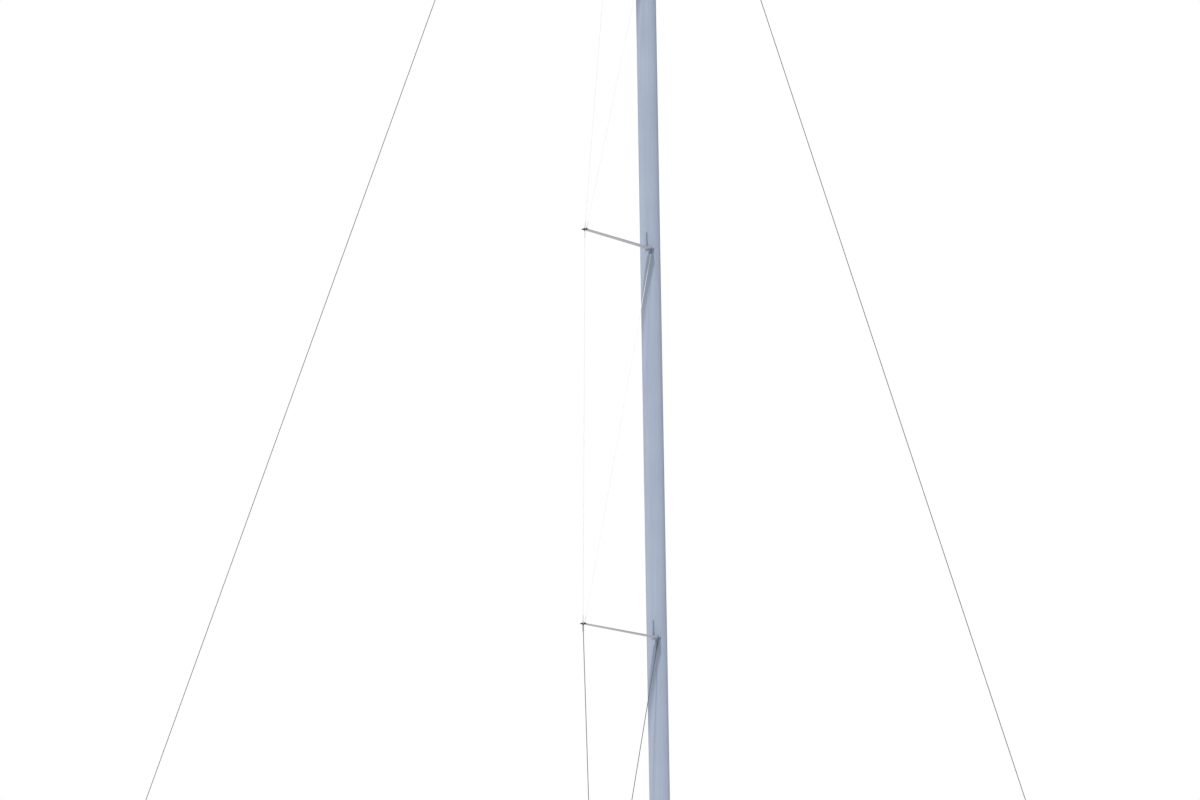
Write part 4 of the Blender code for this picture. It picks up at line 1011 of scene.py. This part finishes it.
# Boom: an extruded tube in the spar's paint, closed by cast ends, with a track for the sail's
# cars along its top and strops for the mainsheet below.
boom_paint = spar_finish("polyurethane boom paint", (RUN_LENGTH, RUN_WIDTH, RUN_WIDTH))
keep("boom_tube", boom_paint)
keep("boom_front", anodised_casting, 0.0012)
keep("boom_end", anodised_casting, 0.0012)
BOOM_RISE = math.radians(1.0)
BOOM_HALF_DEPTH = 0.075
BOOM_HALF_WIDTH = 0.049
BOOM_LENGTH = 5.45
lift = Vector(joints["boom_lift"]["pos_m"])
boom_way = Vector((-math.cos(BOOM_RISE), 0.0, math.sin(BOOM_RISE)))
boom_up = Vector((math.sin(BOOM_RISE), 0.0, math.cos(BOOM_RISE)))


def on_boom(along, up=0.0, side=0.0):
    """The point at a distance along the boom, off its middle line."""
    return lift + boom_way * along + boom_up * up + PORT * side


TRACK_HALF_SECTION = (
    (0.012, 0.009), (0.013, 0.0085), (0.013, 0.0055), (0.006, 0.005),
    (0.006, 0.0035), (0.010, 0.003), (0.010, 0.0),
)
TRACK_ENDS = (0.10, BOOM_LENGTH - 0.04)
TRACK_SUNK = 0.0003
track = bmesh.new()
section = [(-side, up) for side, up in TRACK_HALF_SECTION[::-1]] + list(TRACK_HALF_SECTION)
rings = []
for along in TRACK_ENDS:
    rings.append([on_boom(along, BOOM_HALF_DEPTH - TRACK_SUNK + up, side) for side, up in section])
join_rings(track, rings)
add_piece("boom_track", track, [anodised_casting], "boom")

BAILS = (2.9, 3.6)
BAIL_HALF_WIDTH = BOOM_HALF_WIDTH + 0.006
BAIL_DROP = BOOM_HALF_DEPTH + 0.014
BAIL_TOP = -0.030
BAIL_WIRE = 0.0045
BAIL_BOLT = (0.013, 0.005)
BAIL_BOLT_UP = -0.028
BAIL_BOLT_OUT = BOOM_HALF_WIDTH + 0.004
bails = bmesh.new()
for along in BAILS:
    rings = []
    for step in range(25):
        share = step / 24
        turn = math.pi * share
        side = -math.cos(turn) * BAIL_HALF_WIDTH
        drop = BAIL_TOP - math.sin(turn) * BAIL_DROP
        way = Vector((0.0, math.sin(turn) * BAIL_HALF_WIDTH, -math.cos(turn) * BAIL_DROP))
        rings.append(round_ring(frame_at(on_boom(along, drop, side), way, FORE), BAIL_WIRE, 10))
    join_rings(bails, rings)
    for _, sign in SIDES:
        add_bolt(bails, on_boom(along, BAIL_BOLT_UP, sign * BAIL_BOLT_OUT), PORT * sign, *BAIL_BOLT)
add_piece("mainsheet_bails", bails, [stainless], "boom")

BOOM_RIVETS = (0.078, 0.100, BOOM_LENGTH - 0.020, BOOM_LENGTH - 0.042)
BOOM_RIVETS_UP = 0.025
BOOM_RIVET = (0.0040, 0.0016)
boom_rivets = bmesh.new()
for along in BOOM_RIVETS:
    for _, sign in SIDES:
        for up in (-BOOM_RIVETS_UP, BOOM_RIVETS_UP):
            point = on_boom(along, up, sign * BOOM_HALF_WIDTH)
            add_rivet(boom_rivets, point, PORT * sign, *BOOM_RIVET)
add_piece("boom_rivets", boom_rivets, [stainless], "boom")

# Rigid vang: an anodised barrel hinged at the mast's heel, and a polished rod that slides in it.
# A pin through the boom's lug holds the rod's eye.
keep("vang_lug", stainless, 0.001)
keep("vang_barrel", anodised_casting, 0.001)
VANG_ALONG = 1.55
VANG_BELOW = 0.125
ROD_RADIUS = 0.0205
ROD_SHOULDER = 0.060
ROD_NECK = 0.014
ROD_EYE = 0.022
ROD_EYE_HALF = 0.010
HEAD_PIN_HALF = 0.0212
LUG_RIVETS_ALONG = 0.058
LUG_RIVETS_SIDE = 0.022
LUG_RIVETS_BELOW = 0.0083
LUG_RIVET = (0.0038, 0.0018)
rod_way = Vector(joints["vang_slide"]["axis"])
head = on_boom(VANG_ALONG, -VANG_BELOW)
rod_foot = min((corner.co - head).dot(rod_way) for corner in nodes["vang_rod"].data.vertices)
vang_rod = bmesh.new()
turn_profile(vang_rod, (
    (rod_foot, ROD_RADIUS - 0.002), (rod_foot + 0.002, ROD_RADIUS), (-ROD_SHOULDER, ROD_RADIUS),
    (-ROD_SHOULDER + 0.005, ROD_RADIUS - 0.0012), (-ROD_SHOULDER + 0.013, ROD_NECK + 0.0012),
    (-ROD_SHOULDER + 0.017, ROD_NECK), (-ROD_EYE_HALF, ROD_EYE_HALF - 0.0002),
), frame_at(head, rod_way, PORT), 40)
turn_profile(vang_rod, (
    (-ROD_EYE_HALF, ROD_EYE - 0.001), (0.001 - ROD_EYE_HALF, ROD_EYE),
    (ROD_EYE_HALF - 0.001, ROD_EYE), (ROD_EYE_HALF, ROD_EYE - 0.001),
), frame_at(head, PORT, rod_way), 36)
rod_piece = add_piece("polished_vang_rod", vang_rod, [stainless], "vang_strut")
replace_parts(rod_piece, "vang_rod")
vang_pin = bmesh.new()
add_clevis_pin(vang_pin, frame_at(head, boom_up, PORT), HEAD_PIN_HALF)
for along in (-LUG_RIVETS_ALONG, LUG_RIVETS_ALONG):
    for _, sign in SIDES:
        point = on_boom(VANG_ALONG + along, -BOOM_HALF_DEPTH - LUG_RIVETS_BELOW, sign * LUG_RIVETS_SIDE)
        add_rivet(vang_pin, point, -boom_up, *LUG_RIVET)
add_piece("vang_head_pin", vang_pin, [stainless], "boom")
